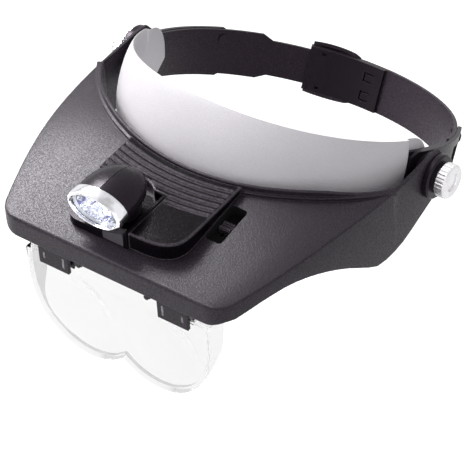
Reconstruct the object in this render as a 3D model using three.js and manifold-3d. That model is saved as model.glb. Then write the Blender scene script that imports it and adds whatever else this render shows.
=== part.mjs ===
// A headband magnifier: a sweatband and strap ring that a head wears, a tilting visor with side ears
// clamped by two knobs, a swivelling lamp on a battery module, and a clear twin lens plate in two clips.
//
// Millimetres. The part's frame has +Z up, -Y to the front and its origin at the ring's centre, at mid
// height of the band. Visor pieces are drawn in the visor's own frame, whose origin is the knob axis at
// X = 0 and whose -Y runs along the visor plate to the front; a group turns them down by VISOR_PITCH.
import * as THREE from "three";
import { mergeVertices } from "three/addons/utils/BufferGeometryUtils.js";
import Module from "manifold-3d";

const wasm = await Module();
wasm.setup();

// Head ring
const RING_HALF_WIDTH = 89.2;
const RING_HALF_DEPTH = 91.2;
const ringFrontPowerShare = 2.2;
const BAND_HEIGHT = 27;
const STRIP_THICKNESS = 1.8;
const BRACKET_THICKNESS = 2;
const SEAT_GAP = 0.3;

// Sweatband
const PAD_RISE = 19.6;
const PAD_DROP = 19;
const PAD_LINING = 2.3;
const PAD_CROWN = 2.4;
const PAD_END_RADIUS = 16;
const PAD_END_DEG = 0.2;

// Side bracket, knob and pivot
const AXIS_SETBACK = 8.6;
const AXIS_RISE = 2.2;
const BRACKET_FRONT_DEG = 13.45;
const BRACKET_REAR_DEG = 33;
const BRACKET_CORNER = 3;
const PIVOT_BOSS_RADIUS = 11;
const STEM_RADIUS = 2;
const STEM_CLEARANCE = 0.25;
const INSERT_RADIUS = 3.6;
const INSERT_LENGTH = 3.2;
const WASHER_RADIUS = 12.3;
const WASHER_THICKNESS = 3.2;
const WASHER_HUB_RADIUS = 8.6;
const WASHER_HUB_RISE = 1.1;
const KNOB_RADIUS = 9.4;
const KNOB_THICKNESS = 6.2;
const KNOB_DISH_RADIUS = 4.6;
const KNOB_DISH_DEPTH = 0.9;
const KNOB_EDGE = 0.8;
const KNURL_COUNT = 26;
const KNURL_DEPTH = 0.4;
const LOOP_WINDOW_FROM_DEG = 15.5;
const LOOP_WINDOW_TO_DEG = 25.5;
const LOOP_WINDOW_HALF_HEIGHT = 8.8;
const RIVET_DEG = 29.2;
const RIVET_RISE = 8.2;
const RIVET_RADIUS = 1.5;
const RIVET_HEAD_RADIUS = 2.7;
const RIVET_HEAD_RISE = 0.9;
const RIVET_INNER_RISE = 0.3;

// Rear straps and size adjuster
const STRAP_FRONT_DEG = 13;
const STRAP_DROP = 11.9;
const BAND_END_DEG = 6.5;
const LEFT_JOIN_DEG = 10.5;
const LEFT_JOIN_GAP_DEG = 1;
const ADJUST_LOOSER_DEG = 5;
const ADJUST_TIGHTER_DEG = 6;
const SLEEVE_RIGHT_DEG = 86.8;
const SLEEVE_LEFT_DEG = 117;
const SLEEVE_RISE = 12.9;
const SLEEVE_DROP = 12;
const SLEEVE_WALL = 1.2;
const TONGUE_CLEARANCE = 0.35;
const SLEEVE_TONGUE_MARGIN = 0.3;
const TONGUE_RISE = 10.4;
const TONGUE_DROP = 9.3;
const TONGUE_SHOULDER_FROM_DEG = 135;
const TONGUE_SHOULDER_TO_DEG = 131;
const TONGUE_TIP_DEG = 99.5;
const TONGUE_TIP_CORNER = 4;
const RATCHET_PITCH_DEG = 2.2;
const RATCHET_COUNT = 9;
const RATCHET_DEPTH = 0.5;
const LATCH_TONGUE_DEG = 5.5;
const TAB_WINDOW_RISE = 5.4;
const TAB_WINDOW_HALF_HEIGHT = 2.7;
const TAB_SLOT = 0.8;
const TAB_FROM_DEG = 90.6;
const TAB_TO_DEG = 94.6;
const CORE_HOLE_DEG = 111.5;
const CORE_HOLE_HALF_DEG = 0.75;
const CORE_HOLE_HALF_HEIGHT = 0.9;
const CORE_HOLE_EDGE = 1.8;
const HUMP_FROM_DEG = 98.5;
const HUMP_TO_DEG = 116.4;
const HUMP_RISE = 6.2;
const HUMP_OVERHANG = 2.6;
const HUMP_WALL = 1.4;

// Visor shell
const VISOR_PITCH_DEG = 28.5;
const BOSS_STANDOFF = 2.9;
const VISOR_WALL = 2.5;
const PLATE_RISE = 13.8;
const PLATE_ARCH = 6.5;
const PLATE_SIDE_ARCH = 2.9;
const PLATE_CROWN_HALF = 46;
const PLATE_REAR = 30;
const shoulderPowerShare = 2.35;
const VISOR_CORNER_RADIUS = 14;
const CREASE_RADIUS = 1.6;
const SKIRT_DROP = 25.7;
const SKIRT_FRONT_DROP = 12.3;
const RIM_SIDE_REACH = 10.1;
const RIM_RING_GAP = 2.4;
const RIM_THICKNESS = 1.8;
const RIM_RISE = 5;
const RIM_STEP_WIDTH = 1.5;
const RIM_STEP_RISE = 1.6;
const RIM_TAPER = 26;
const RIM_EDGE = 0.5;
const EAR_CLEARANCE = 0.3;

// Lens plate and clips
const LENS_SIDE_MARGIN = 11;
const LENS_FRAME = 6;
const LENS_TOP_DROP = 3.2;
const LENS_SHOULDER_DROP = 8;
const LENS_CHIN = 8.8;
const LENS_NOTCH_HEIGHT = 9.3;
const LENS_FACE_INSET = 4;
const LENS_THICKNESS = 2.6;
const LENS_SKIRT_WALL = 2;
const LENS_SKIRT_DEPTH = 14.6;
const LENS_SKIRT_LOW_DEPTH = 4.6;
const LOBE_HALF_GAP = 5;
const LOBE_BROW = 5;
const LOBE_RADIUS = 23;
const LOBE_BULGE = 3.4;
const CLIP_INNER = 28;
const CLIP_WIDTH = 18.7;
const CLIP_DROP = 11.7;
const CLIP_FRONT_INSET = 1.7;
const CLIP_WALL = 1.9;
const CLIP_SLOT_CLEARANCE = 0.35;
const CLIP_CHAMFER = 2.1;
const CLIP_WINDOW_WIDTH = 1.3;
const CLIP_WINDOW_LONG = 7;
const CLIP_WINDOW_SHORT = 4;
const HOOK_RADIUS = 1.5;
const HOOK_OFFSET = 21.4;

// Battery cover on the plate, cells and tray
const COVER_LEFT = 38;
const COVER_SIDE_ROOM = 4.95;
const COVER_SETBACK = 12.8;
const COVER_NOSE = 4.8;
const COVER_HEIGHT = 11.3;
const COVER_SLOPE_DEG = -0.6;
const COVER_CORNER_Y = 21;
const coverCornerPowerShare = 3.3;
const COVER_EDGE = 0.8;
const COVER_WALL = 1.6;
const BAY_RADIUS = 14.5;
const BAY_DEPTH = 4.6;
const RIB_COUNT = 6;
const RIB_FIRST = 4;
const RIB_PITCH = 4.05;
const RIB_WIDTH = 1.9;
const RIB_RISE = 0.9;
const CELL_RADIUS = 5.25;
const CELL_LENGTH = 43.5;
const CELL_NUB_RADIUS = 1.8;
const CELL_NUB_LENGTH = 1;
const CELL_SPACING = 11;
const CELL_SINK = 1.7;
const CELL_BAY_GAP = 1.15;
const TRAY_REAR_GAP = 1.2;
const TRAY_WALL = 1.5;
const TRAY_FLANGE = 2.2;
const CONTACT_THICKNESS = 0.5;
const CONTACT_ROOM = 2.6;
const SPRING_WIRE_RADIUS = 0.35;
const SPRING_COIL_RADIUS = 2.2;
const SPRING_TURNS = 3;
const DRIVER_BOARD_WIDTH = 20;
const DRIVER_BOARD_DEPTH = 9;
const DRIVER_BOARD_THICKNESS = 1.2;

// Lamp base: the low deck beside the cover
const DECK_LEAD = 1.4;
const DECK_RISE = 5.6;
const DECK_WALL = 1.5;
const DECK_CORNER = 9;
const SCREW_RADIUS = 1.2;
const SCREW_HEAD_RADIUS = 2.2;
const SCREW_HEAD_RISE = 1.2;
const SCREW_LENGTH = 3.6;

// Switch
const POCKET_COVER_GAP = 0.4;
const POCKET_WIDTH = 10;
const POCKET_RIM_GAP = 5.2;
const POCKET_LENGTH = 24.4;
const POCKET_DEPTH = 5.2;
const POCKET_WALL = 1.2;
const POCKET_CORNER = 2;
const SWITCH_ASIDE = 1;
const SWITCH_SLOT_WIDTH = 2.6;
const SWITCH_TRAVEL = 4;
const SWITCH_THUMB_LENGTH = 6.2;
const SWITCH_THUMB_WIDTH = 6.6;
const SWITCH_THUMB_RISE = 3.4;
const SWITCH_RIDGE = 0.8;
const SWITCH_CASE_LENGTH = 14;
const SWITCH_CASE_WIDTH = 6.6;
const SWITCH_CASE_DEPTH = 5;

// Lamp: radii are half widths, and its oval sections are lower by a share
const lampHeightShare = 0.62;
const LAMP_OFFSET = 14.2;
const LAMP_SIDE_GAP = 1.3;
const LAMP_LIFT = 13.4;
const LAMP_RADIUS = 16.8;
const LAMP_NECK_INSET = 0.4;
const LAMP_WALL = 1.7;
const LAMP_FRONT = 13;
const LAMP_TAIL = 16.2;
const BEZEL_PROUD = 0.5;
const BEZEL_LENGTH = 7;
const BEZEL_LIP = 1.6;
const BEZEL_OVERLAP = 1.2;
const FRONT_LENS_THICKNESS = 1.2;
const REFLECTOR_WALL = 0.8;
const REFLECTOR_DEPTH = 8.5;
const REFLECTOR_THROAT = 4.2;
const LED_RADIUS = 2.5;
const LED_HEIGHT = 5.4;
const LED_BASE_RADIUS = 2.9;
const LED_BASE_THICKNESS = 1;
const LED_BOARD_RADIUS = 10;
const LED_BOARD_THICKNESS = 1;
const PARTING_GAP = 0.35;
const TILT_DROP = 6.6;
const TILT_PIN_RADIUS = 1.2;
const TILT_CLEARANCE = 0.2;
const TONGUE_WIDTH = 6;
const TONGUE_LENGTH = 5.6;
const BELLY_SLOT_WIDTH = 7;
const BELLY_SLOT_LENGTH = 14;
const TURNTABLE_RADIUS = 11.6;
const TURNTABLE_THICKNESS = 1.6;
const TURNTABLE_RISE = 0.3;
const TURNTABLE_STEM_RADIUS = 3;
const TURNTABLE_CLEARANCE = 0.3;
const BLOCK_LEFT = 11.3;
const BLOCK_RIGHT = 1.5;
const BLOCK_DEPTH = 5;
const BLOCK_LOW_HEIGHT = 0.1;
const BLOCK_HEIGHT = 3.6;
const BLOCK_UNDERCUT = 0.9;
const SHOULDER_LEFT = 1;
const SHOULDER_EDGE = 1.2;

// Sizes that follow from the ones above

// The visor stands on the ring: its ears clear the bosses and its rim clears the padded front.
const VISOR_HALF_WIDTH = RING_HALF_WIDTH + BOSS_STANDOFF + EAR_CLEARANCE + VISOR_WALL;
const RIM_HALF_WIDTH = VISOR_HALF_WIDTH + RIM_SIDE_REACH;
const RIM_HALF_DEPTH = RING_HALF_DEPTH + RIM_RING_GAP;
const RIM_FRONT = RIM_HALF_DEPTH - AXIS_SETBACK;

// The lamp's outside, and the bay that it leaves in the cover.
const LAMP_NECK_RADIUS = LAMP_RADIUS - LAMP_NECK_INSET;
const BEZEL_RADIUS = LAMP_RADIUS + BEZEL_PROUD;
const BAY_LEFT = BEZEL_RADIUS - LAMP_OFFSET + LAMP_SIDE_GAP;

// The cells in their tray, and the cover over them: half sizes of the tray's inside come first.
const TRAY_SIDE = CELL_SPACING / 2 + CELL_RADIUS + SEAT_GAP;
const TRAY_END = (CELL_LENGTH + CELL_NUB_LENGTH + CONTACT_ROOM + CONTACT_THICKNESS) / 2 + SEAT_GAP;
const CELL_RISE = PLATE_RISE - CELL_SINK;
const CELL_OFFSET = BAY_LEFT + CELL_BAY_GAP + TRAY_SIDE;
const CELL_SETBACK = RIM_FRONT + TRAY_REAR_GAP + TRAY_END;
const COVER_RIGHT = CELL_OFFSET + TRAY_SIDE + COVER_SIDE_ROOM;
const COVER_CORNER_X = COVER_RIGHT - BAY_LEFT;
const COVER_FRONT = CELL_SETBACK + TRAY_END + COVER_NOSE;
const COVER_RISE = PLATE_RISE + COVER_HEIGHT;
const VISOR_REACH = COVER_FRONT + COVER_SETBACK;

// The lamp's base, with the turntable behind the block, and the lamp on it.
const DECK_LEFT = COVER_LEFT - DECK_WALL;
const DECK_FRONT = COVER_FRONT + DECK_LEAD;
const DECK_TOP = PLATE_RISE + DECK_RISE;
const BLOCK_LOW_RISE = DECK_TOP + BLOCK_LOW_HEIGHT;
const BLOCK_RISE = DECK_TOP + BLOCK_HEIGHT;
const SHOULDER_RISE = COVER_RISE - SEAT_GAP;
const LAMP_SETBACK = DECK_FRONT - BLOCK_DEPTH - TURNTABLE_RADIUS - DECK_WALL;
const LAMP_AXIS_RISE = DECK_TOP + LAMP_LIFT;
const BAY_REAR = LAMP_SETBACK - LAMP_TAIL + SEAT_GAP;

// The switch's pocket, beside the cover and before the rim.
const POCKET_LEFT = COVER_RIGHT + POCKET_COVER_GAP;
const POCKET_FRONT = RIM_FRONT + POCKET_RIM_GAP + POCKET_LENGTH;

// The lens plate round its two lobes, and the front of the visor round the plate.
const LOBE_OFFSET = LOBE_RADIUS + LOBE_HALF_GAP;
const LOBE_DROP = LENS_SHOULDER_DROP + LOBE_RADIUS + LOBE_BROW;
const LENS_HALF_WIDTH = LOBE_OFFSET + LOBE_RADIUS + LENS_FRAME;
const LENS_DROP = LOBE_DROP + LOBE_RADIUS + LENS_CHIN;
const LENS_NOTCH_DROP = LENS_DROP - LENS_NOTCH_HEIGHT;
const SHOULDER_TAPER = VISOR_HALF_WIDTH - LENS_HALF_WIDTH - LENS_SIDE_MARGIN;

// Facets
const CUT_OVERRUN = 1;
const WELD = 0.0001;
const ROUND_SEGMENTS = 24;
const SMALL_SEGMENTS = 14;
const CURVE_SEGMENTS = 6;
const LENS_SEGMENTS = 3;
const LAMP_SEGMENTS = 25;

const DEG = Math.PI / 180;

// Colours
const paint = (color, roughness, metalness = 0, opacity = 1) =>
  new THREE.MeshStandardMaterial({ color, roughness, metalness, opacity, transparent: opacity < 1 });
const GREY_PLASTIC = paint(0x3c3a40, 0.6);
const BLACK_PLASTIC = paint(0x1b1a1e, 0.45);
const STRAP_PLASTIC = paint(0x2b292e, 0.55);
const BLOCK_GREY = paint(0x77757a, 0.5);
const LEATHERETTE = paint(0xe6e5e7, 0.7);
const SILVER = paint(0xcfced2, 0.3, 0.9);
const CHROME = paint(0xe8e8ec, 0.12, 1);
const BRASS = paint(0xb08d4a, 0.35, 0.9);
const CLEAR = paint(0xf4f6f8, 0.05, 0, 0.35);
const LED_CLEAR = paint(0xdfe8ff, 0.1, 0, 0.7);
const BOARD_GREEN = paint(0x2f5a3a, 0.6);
const CELL_SLEEVE = paint(0x8c8f94, 0.35, 0.6);

// Solids and geometries

function solid(geometry) {
  const bare = geometry.index ? geometry.toNonIndexed() : geometry.clone();
  bare.deleteAttribute("normal");
  bare.deleteAttribute("uv");
  const merged = mergeVertices(bare, WELD);
  const mesh = new wasm.Mesh({
    numProp: 3,
    vertProperties: new Float32Array(merged.attributes.position.array),
    triVerts: new Uint32Array(merged.index.array),
  });
  return new wasm.Manifold(mesh);
}

function geometryOf(body) {
  const mesh = body.getMesh();
  const geometry = new THREE.BufferGeometry();
  geometry.setAttribute("position", new THREE.BufferAttribute(new Float32Array(mesh.vertProperties), 3));
  geometry.setIndex(new THREE.BufferAttribute(new Uint32Array(mesh.triVerts), 1));
  return geometry;
}

const join = (first, ...rest) => rest.reduce((all, next) => all.add(next), first);
const cut = (first, ...rest) => rest.reduce((all, next) => all.subtract(next), first);

// A box from its lowest to its highest corner.
function block(x0, x1, y0, y1, z0, z1) {
  const box = new THREE.BoxGeometry(x1 - x0, y1 - y0, z1 - z0);
  return solid(box.translate((x0 + x1) / 2, (y0 + y1) / 2, (z0 + z1) / 2));
}

// An outline of the XY plane, raised along Z between two heights.
function prism(shape, z0, z1, curveSegments = CURVE_SEGMENTS) {
  const options = { depth: z1 - z0, bevelEnabled: false, curveSegments };
  return solid(new THREE.ExtrudeGeometry(shape, options).translate(0, 0, z0));
}

// An outline of the YZ plane, drawn as (y, z), extruded along X between two places.
function sidePrism(points, x0, x1) {
  const shape = new THREE.Shape(points.map(([y, z]) => new THREE.Vector2(y, z)));
  const geometry = new THREE.ExtrudeGeometry(shape, { depth: x1 - x0, bevelEnabled: false });
  geometry.rotateY(Math.PI / 2).rotateX(Math.PI / 2);
  return solid(geometry.translate(x0, 0, 0));
}

// An outline of the XZ plane, drawn as (x, z), extruded along Y between two places.
function frontPrism(shape, y0, y1, curveSegments = CURVE_SEGMENTS) {
  const options = { depth: y1 - y0, bevelEnabled: false, curveSegments };
  const geometry = new THREE.ExtrudeGeometry(shape, options);
  return solid(geometry.rotateX(Math.PI / 2).translate(0, y1, 0));
}

function roundedRectangle(x0, x1, y0, y1, radius) {
  const shape = new THREE.Shape();
  shape.moveTo(x0 + radius, y0);
  shape.lineTo(x1 - radius, y0);
  shape.absarc(x1 - radius, y0 + radius, radius, -Math.PI / 2, 0);
  shape.lineTo(x1, y1 - radius);
  shape.absarc(x1 - radius, y1 - radius, radius, 0, Math.PI / 2);
  shape.lineTo(x0 + radius, y1);
  shape.absarc(x0 + radius, y1 - radius, radius, Math.PI / 2, Math.PI);
  shape.lineTo(x0, y0 + radius);
  shape.absarc(x0 + radius, y0 + radius, radius, Math.PI, Math.PI * 1.5);
  return shape;
}

// A turned body: the profile's points are (radius, place along the axis), and the axis is X, Y or Z.
function turned(profile, axis, segments = ROUND_SEGMENTS) {
  const points = profile.map(([r, along]) => new THREE.Vector2(r, along));
  const geometry = new THREE.LatheGeometry(points, segments);
  if (axis === "x") geometry.rotateZ(-Math.PI / 2);
  if (axis === "z") geometry.rotateX(Math.PI / 2);
  const made = new THREE.BufferGeometry();
  made.setAttribute("position", geometry.attributes.position);
  made.setIndex(geometry.index);
  return facingOut(made);
}

// A closed mesh as a solid, turned inside out first if its faces point inwards.
function facingOut(geometry) {
  const flat = geometry.index ? geometry.toNonIndexed() : geometry;
  const at = flat.attributes.position;
  const corner = [new THREE.Vector3(), new THREE.Vector3(), new THREE.Vector3()];
  let volume = 0;
  for (let i = 0; i < at.count; i += 3) {
    corner.forEach((c, k) => c.fromBufferAttribute(at, i + k));
    volume += corner[0].dot(corner[1].clone().cross(corner[2]));
  }
  if (volume < 0) {
    for (let i = 0; i < at.count; i += 3) {
      corner[1].fromBufferAttribute(at, i + 1);
      corner[2].fromBufferAttribute(at, i + 2);
      at.setXYZ(i + 1, ...corner[2].toArray());
      at.setXYZ(i + 2, ...corner[1].toArray());
    }
  }
  return solid(flat);
}

const rod = (axis, radius, from, to, segments = SMALL_SEGMENTS) =>
  turned([[0, from], [radius, from], [radius, to], [0, to]], axis, segments);

const tube = (axis, outer, inner, from, to, segments = ROUND_SEGMENTS) =>
  turned([[inner, from], [outer, from], [outer, to], [inner, to], [inner, from]], axis, segments);

// A body skinned over rings of equally many points, with a flat cap at each end.
function loft(rings) {
  const count = rings[0].length;
  const points = rings.flat();
  const faces = [];
  for (let i = 0; i + 1 < rings.length; i++) {
    for (let j = 0; j < count; j++) {
      const a = i * count + j;
      const b = i * count + ((j + 1) % count);
      faces.push([a, b, b + count], [a, b + count, a + count]);
    }
  }
  const last = (rings.length - 1) * count;
  for (const [a, b, c] of capFaces(rings[0])) faces.push([a, c, b]);
  for (const [a, b, c] of capFaces(rings.at(-1))) faces.push([a + last, b + last, c + last]);
  const geometry = new THREE.BufferGeometry();
  const corners = faces.flat().flatMap((i) => points[i].toArray());
  geometry.setAttribute("position", new THREE.Float32BufferAttribute(corners, 3));
  return facingOut(geometry);
}

// Triangles over one flat ring, wound as the ring is.
function capFaces(ring) {
  const normal = new THREE.Vector3();
  ring.forEach((p, i) => normal.add(p.clone().cross(ring[(i + 1) % ring.length])));
  normal.normalize();
  const along = ring[1].clone().sub(ring[0]).normalize();
  const across = normal.clone().cross(along);
  const flat = ring.map((p) => new THREE.Vector2(p.dot(along), p.dot(across)));
  return THREE.ShapeUtils.triangulateShape(flat, []).map((face) => {
    const [a, b, c] = face.map((i) => flat[i]);
    const turn = (b.x - a.x) * (c.y - a.y) - (b.y - a.y) * (c.x - a.x);
    return turn > 0 ? face : [face[0], face[2], face[1]];
  });
}

const moved = (body, x, y, z) => solid(geometryOf(body).translate(x, y, z));

function turnedBy(body, axis, angle) {
  const geometry = geometryOf(body);
  if (axis === "x") geometry.rotateX(angle);
  if (axis === "y") geometry.rotateY(angle);
  if (axis === "z") geometry.rotateZ(angle);
  return solid(geometry);
}

const mirrored = (body) => {
  const geometry = geometryOf(body).scale(-1, 1, 1).toNonIndexed();
  return facingOut(geometry);
};

const steps = (count) => Array.from({ length: count + 1 }, (_, i) => i / count);
const mix = (a, b, share) => a + (b - a) * share;

// The head ring: a half ellipse behind and a slightly squarer one in front, with insets measured
// inwards along its normal

// Angle 0 is the wearer's left temple on +X, 90 the back of the head and -90 the forehead.
function ringPoint(angle, inset, z) {
  const c = Math.cos(angle * DEG);
  const s = Math.sin(angle * DEG);
  const power = s < 0 ? ringFrontPowerShare : 2;
  const across = Math.sign(c) * Math.abs(c) ** (2 / power);
  const along = Math.sign(s) * Math.abs(s) ** (2 / power);
  const slope = (share) => Math.sign(share) * Math.abs(share) ** (power - 1);
  const normal = new THREE.Vector2(slope(across) / RING_HALF_WIDTH, slope(along) / RING_HALF_DEPTH);
  normal.normalize();
  const x = RING_HALF_WIDTH * across - normal.x * inset;
  const y = RING_HALF_DEPTH * along - normal.y * inset;
  return new THREE.Vector3(x, y, z);
}

// Sweeps a section, given as (inset, z) pairs for each angle, along the ring.
function ringSweep(sectionAt, fromDeg, toDeg, count) {
  const rings = steps(count).map((share) => {
    const angle = mix(fromDeg, toDeg, share);
    return sectionAt(angle, share).map(([inset, z]) => ringPoint(angle, inset, z));
  });
  return loft(rings);
}

function ringStrip(inset, thickness, z0, z1, fromDeg, toDeg, count) {
  const inside = inset + thickness;
  return ringSweep(() => [[inset, z0], [inset, z1], [inside, z1], [inside, z0]], fromDeg, toDeg, count);
}

const STRIP_INSET = BRACKET_THICKNESS + SEAT_GAP;
const CHANNEL_INSET = STRIP_INSET - SEAT_GAP;
const CHANNEL_DEPTH = STRIP_THICKNESS + 2 * SEAT_GAP;
const PAD_THICKNESS = CHANNEL_INSET + CHANNEL_DEPTH + PAD_LINING;
const BAND_HALF = BAND_HEIGHT / 2;

// The core strip that stiffens the forehead, inside the sweatband from temple to temple.
function frontBand() {
  return ringStrip(
    STRIP_INSET, STRIP_THICKNESS, -BAND_HALF, BAND_HALF,
    -180 + LEFT_JOIN_DEG + LEFT_JOIN_GAP_DEG / 2, BAND_END_DEG, 40,
  );
}

// The sweatband: a padded sleeve with drawn-in edges over the forehead and two round lining ends.
function sweatband() {
  const facing = BRACKET_FRONT_DEG + SEAT_GAP / (RING_HALF_DEPTH * DEG);
  const edgeShares = [0, 0.04, 0.16, 0.5, 0.84, 0.96, 1];
  const sectionOf = (outer, inner, low, high, crown) => {
    const middle = (outer + inner) / 2;
    const half = (inner - outer) / 2;
    const side = (share, sign) => {
      const edge = Math.abs(2 * share - 1);
      const pinch = Math.sqrt(Math.max(0, 1 - edge ** 8));
      const flat = half - crown * edge ** 2;
      return [middle + sign * Math.max(flat * pinch, crown * 0.1), mix(low, high, share)];
    };
    return [...edgeShares.map((s) => side(s, -1)), ...[...edgeShares].reverse().map((s) => side(s, 1))];
  };
  const sleeve = ringSweep(
    () => sectionOf(0, PAD_THICKNESS, -PAD_DROP, PAD_RISE, PAD_CROWN),
    -180 + facing,
    -facing,
    32,
  );
  const channel = ringStrip(
    CHANNEL_INSET, CHANNEL_DEPTH, -BAND_HALF - SEAT_GAP, BAND_HALF + SEAT_GAP,
    -180 + facing - CUT_OVERRUN, -facing + CUT_OVERRUN, 32,
  );
  const liningFrom = CHANNEL_INSET + CHANNEL_DEPTH;
  const endSpan = PAD_END_RADIUS / (RING_HALF_DEPTH * DEG);
  const liningEnd = (sign) => {
    const start = sign > 0 ? -facing - CUT_OVERRUN : -180 + facing + CUT_OVERRUN;
    const stop = sign > 0 ? PAD_END_DEG : -180 - PAD_END_DEG;
    return ringSweep(
      (angle) => {
        const left = Math.abs(angle - stop) / endSpan;
        const round = left >= 1 ? 1 : Math.sqrt(Math.max(0, 1 - (1 - left) ** 2));
        const squeeze = Math.max(round, 0.06);
        return sectionOf(liningFrom, PAD_THICKNESS, -PAD_DROP * squeeze, PAD_RISE * squeeze, PAD_CROWN / 3);
      },
      start, stop, 7,
    );
  };
  return join(cut(sleeve, channel), liningEnd(1), liningEnd(-1));
}

// The pivot axis in the ring's frame.
const EAR_INNER = VISOR_HALF_WIDTH - VISOR_WALL;
const BOSS_FACE = EAR_INNER - EAR_CLEARANCE;
const BOSS_ROOT = RING_HALF_WIDTH - BRACKET_THICKNESS / 2;
const atAxis = (body) => moved(body, 0, -AXIS_SETBACK, AXIS_RISE);

// The right side bracket: a curved plate with the pivot boss, a strap window and a rivet hole.
function sideBracket() {
  const corner = BRACKET_CORNER / (RING_HALF_DEPTH * DEG);
  const plate = ringSweep(
    (angle) => {
      const edge = Math.min(angle + BRACKET_FRONT_DEG, BRACKET_REAR_DEG - angle) / corner;
      const drop = edge >= 1 ? 0 : BRACKET_CORNER * (1 - Math.sqrt(Math.max(0, 1 - (1 - edge) ** 2)));
      const half = BAND_HALF + SEAT_GAP - drop;
      return [[0, -half], [0, half], [BRACKET_THICKNESS, half], [BRACKET_THICKNESS, -half]];
    },
    -BRACKET_FRONT_DEG, BRACKET_REAR_DEG, 15,
  );
  const window = ringStrip(
    -CUT_OVERRUN, BRACKET_THICKNESS + 2 * CUT_OVERRUN, -LOOP_WINDOW_HALF_HEIGHT, LOOP_WINDOW_HALF_HEIGHT,
    LOOP_WINDOW_FROM_DEG, LOOP_WINDOW_TO_DEG, 4,
  );
  const boss = atAxis(rod("x", PIVOT_BOSS_RADIUS, BOSS_ROOT, BOSS_FACE, ROUND_SEGMENTS));
  const pocketFloor = BOSS_FACE - INSERT_LENGTH - 2 * SEAT_GAP;
  const pocket = atAxis(rod("x", INSERT_RADIUS + STEM_CLEARANCE, pocketFloor, EAR_INNER));
  const through = atAxis(rod("x", STEM_RADIUS + STEM_CLEARANCE, 0, EAR_INNER));
  const rivetHole = rivetRod(RIVET_RADIUS + STEM_CLEARANCE, CUT_OVERRUN);
  return cut(join(plate, boss), window, pocket, through, rivetHole);
}

// A rod through the bracket and the strap at the rivet's place, square to the ring.
function rivetRod(radius, overrun) {
  const outside = -overrun;
  const inside = STRIP_INSET + STRIP_THICKNESS + overrun;
  return onRing(rod("x", radius, -inside, -outside, SMALL_SEGMENTS), RIVET_DEG, RIVET_RISE);
}

// Places a body drawn along X, with X = 0 on the ring's outer face, at an angle of the ring.
function onRing(body, angle, z) {
  const foot = ringPoint(angle, 0, z);
  const inner = ringPoint(angle, RING_HALF_DEPTH, z);
  const heading = Math.atan2(foot.y - inner.y, foot.x - inner.x);
  return moved(turnedBy(body, "z", heading), foot.x, foot.y, foot.z);
}

function strapRivet() {
  const inside = STRIP_INSET + STRIP_THICKNESS;
  const profile = [
    [0, -inside - RIVET_INNER_RISE - SEAT_GAP],
    [RIVET_HEAD_RADIUS, -inside - RIVET_INNER_RISE - SEAT_GAP],
    [RIVET_HEAD_RADIUS, -inside - SEAT_GAP],
    [RIVET_RADIUS, -inside - SEAT_GAP],
    [RIVET_RADIUS, SEAT_GAP / 2],
    [RIVET_HEAD_RADIUS, SEAT_GAP / 2],
    [RIVET_HEAD_RADIUS * 0.6, RIVET_HEAD_RISE],
    [0, RIVET_HEAD_RISE],
  ];
  return onRing(turned(profile, "x", SMALL_SEGMENTS), RIVET_DEG, RIVET_RISE);
}

// The brass insert that the knob's stem screws into.
function pivotInsert() {
  const face = BOSS_FACE - SEAT_GAP;
  const bore = STEM_RADIUS + STEM_CLEARANCE;
  return atAxis(tube("x", INSERT_RADIUS, bore, face - INSERT_LENGTH, face, SMALL_SEGMENTS));
}

const WASHER_SEAT = VISOR_HALF_WIDTH + EAR_CLEARANCE;
const WASHER_TOP = WASHER_SEAT + WASHER_THICKNESS;
const KNOB_SEAT = WASHER_TOP + WASHER_HUB_RISE + EAR_CLEARANCE;

// The clamping knob: a knurled rim, a shallow dish in its face and a stem through the ear.
function knob() {
  const face = KNOB_SEAT + KNOB_THICKNESS;
  const profile = [
    [0, BOSS_FACE - INSERT_LENGTH - SEAT_GAP],
    [STEM_RADIUS, BOSS_FACE - INSERT_LENGTH - SEAT_GAP],
    [STEM_RADIUS, KNOB_SEAT],
    [KNOB_RADIUS - KNOB_EDGE, KNOB_SEAT],
    [KNOB_RADIUS, KNOB_SEAT + KNOB_EDGE],
    [KNOB_RADIUS, face - KNOB_EDGE],
    [KNOB_RADIUS - KNOB_EDGE, face],
    [KNOB_DISH_RADIUS + KNOB_EDGE / 2, face],
    [KNOB_DISH_RADIUS, face - KNOB_DISH_DEPTH],
    [0, face - KNOB_DISH_DEPTH],
  ];
  const body = turned(profile, "x", KNURL_COUNT);
  const groove = (i) => {
    const angle = (2 * Math.PI * (i + 0.5)) / KNURL_COUNT;
    const pitch = (2 * Math.PI * KNOB_RADIUS) / KNURL_COUNT;
    const inner = KNOB_RADIUS * Math.cos(Math.PI / KNURL_COUNT) - KNURL_DEPTH;
    const outer = KNOB_RADIUS + CUT_OVERRUN;
    const half = (pitch / 4) * ((outer - inner) / KNURL_DEPTH);
    const section = [[0, inner], [half, outer], [-half, outer]];
    const wedge = sidePrism(section, KNOB_SEAT - CUT_OVERRUN, face - KNOB_EDGE);
    return turnedBy(wedge, "x", angle);
  };
  const grooves = Array.from({ length: KNURL_COUNT }, (_, i) => groove(i));
  return atAxis(cut(body, ...grooves));
}

// The rear straps

const strapAngle = (length) => length / (RING_HALF_DEPTH * DEG);

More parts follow.
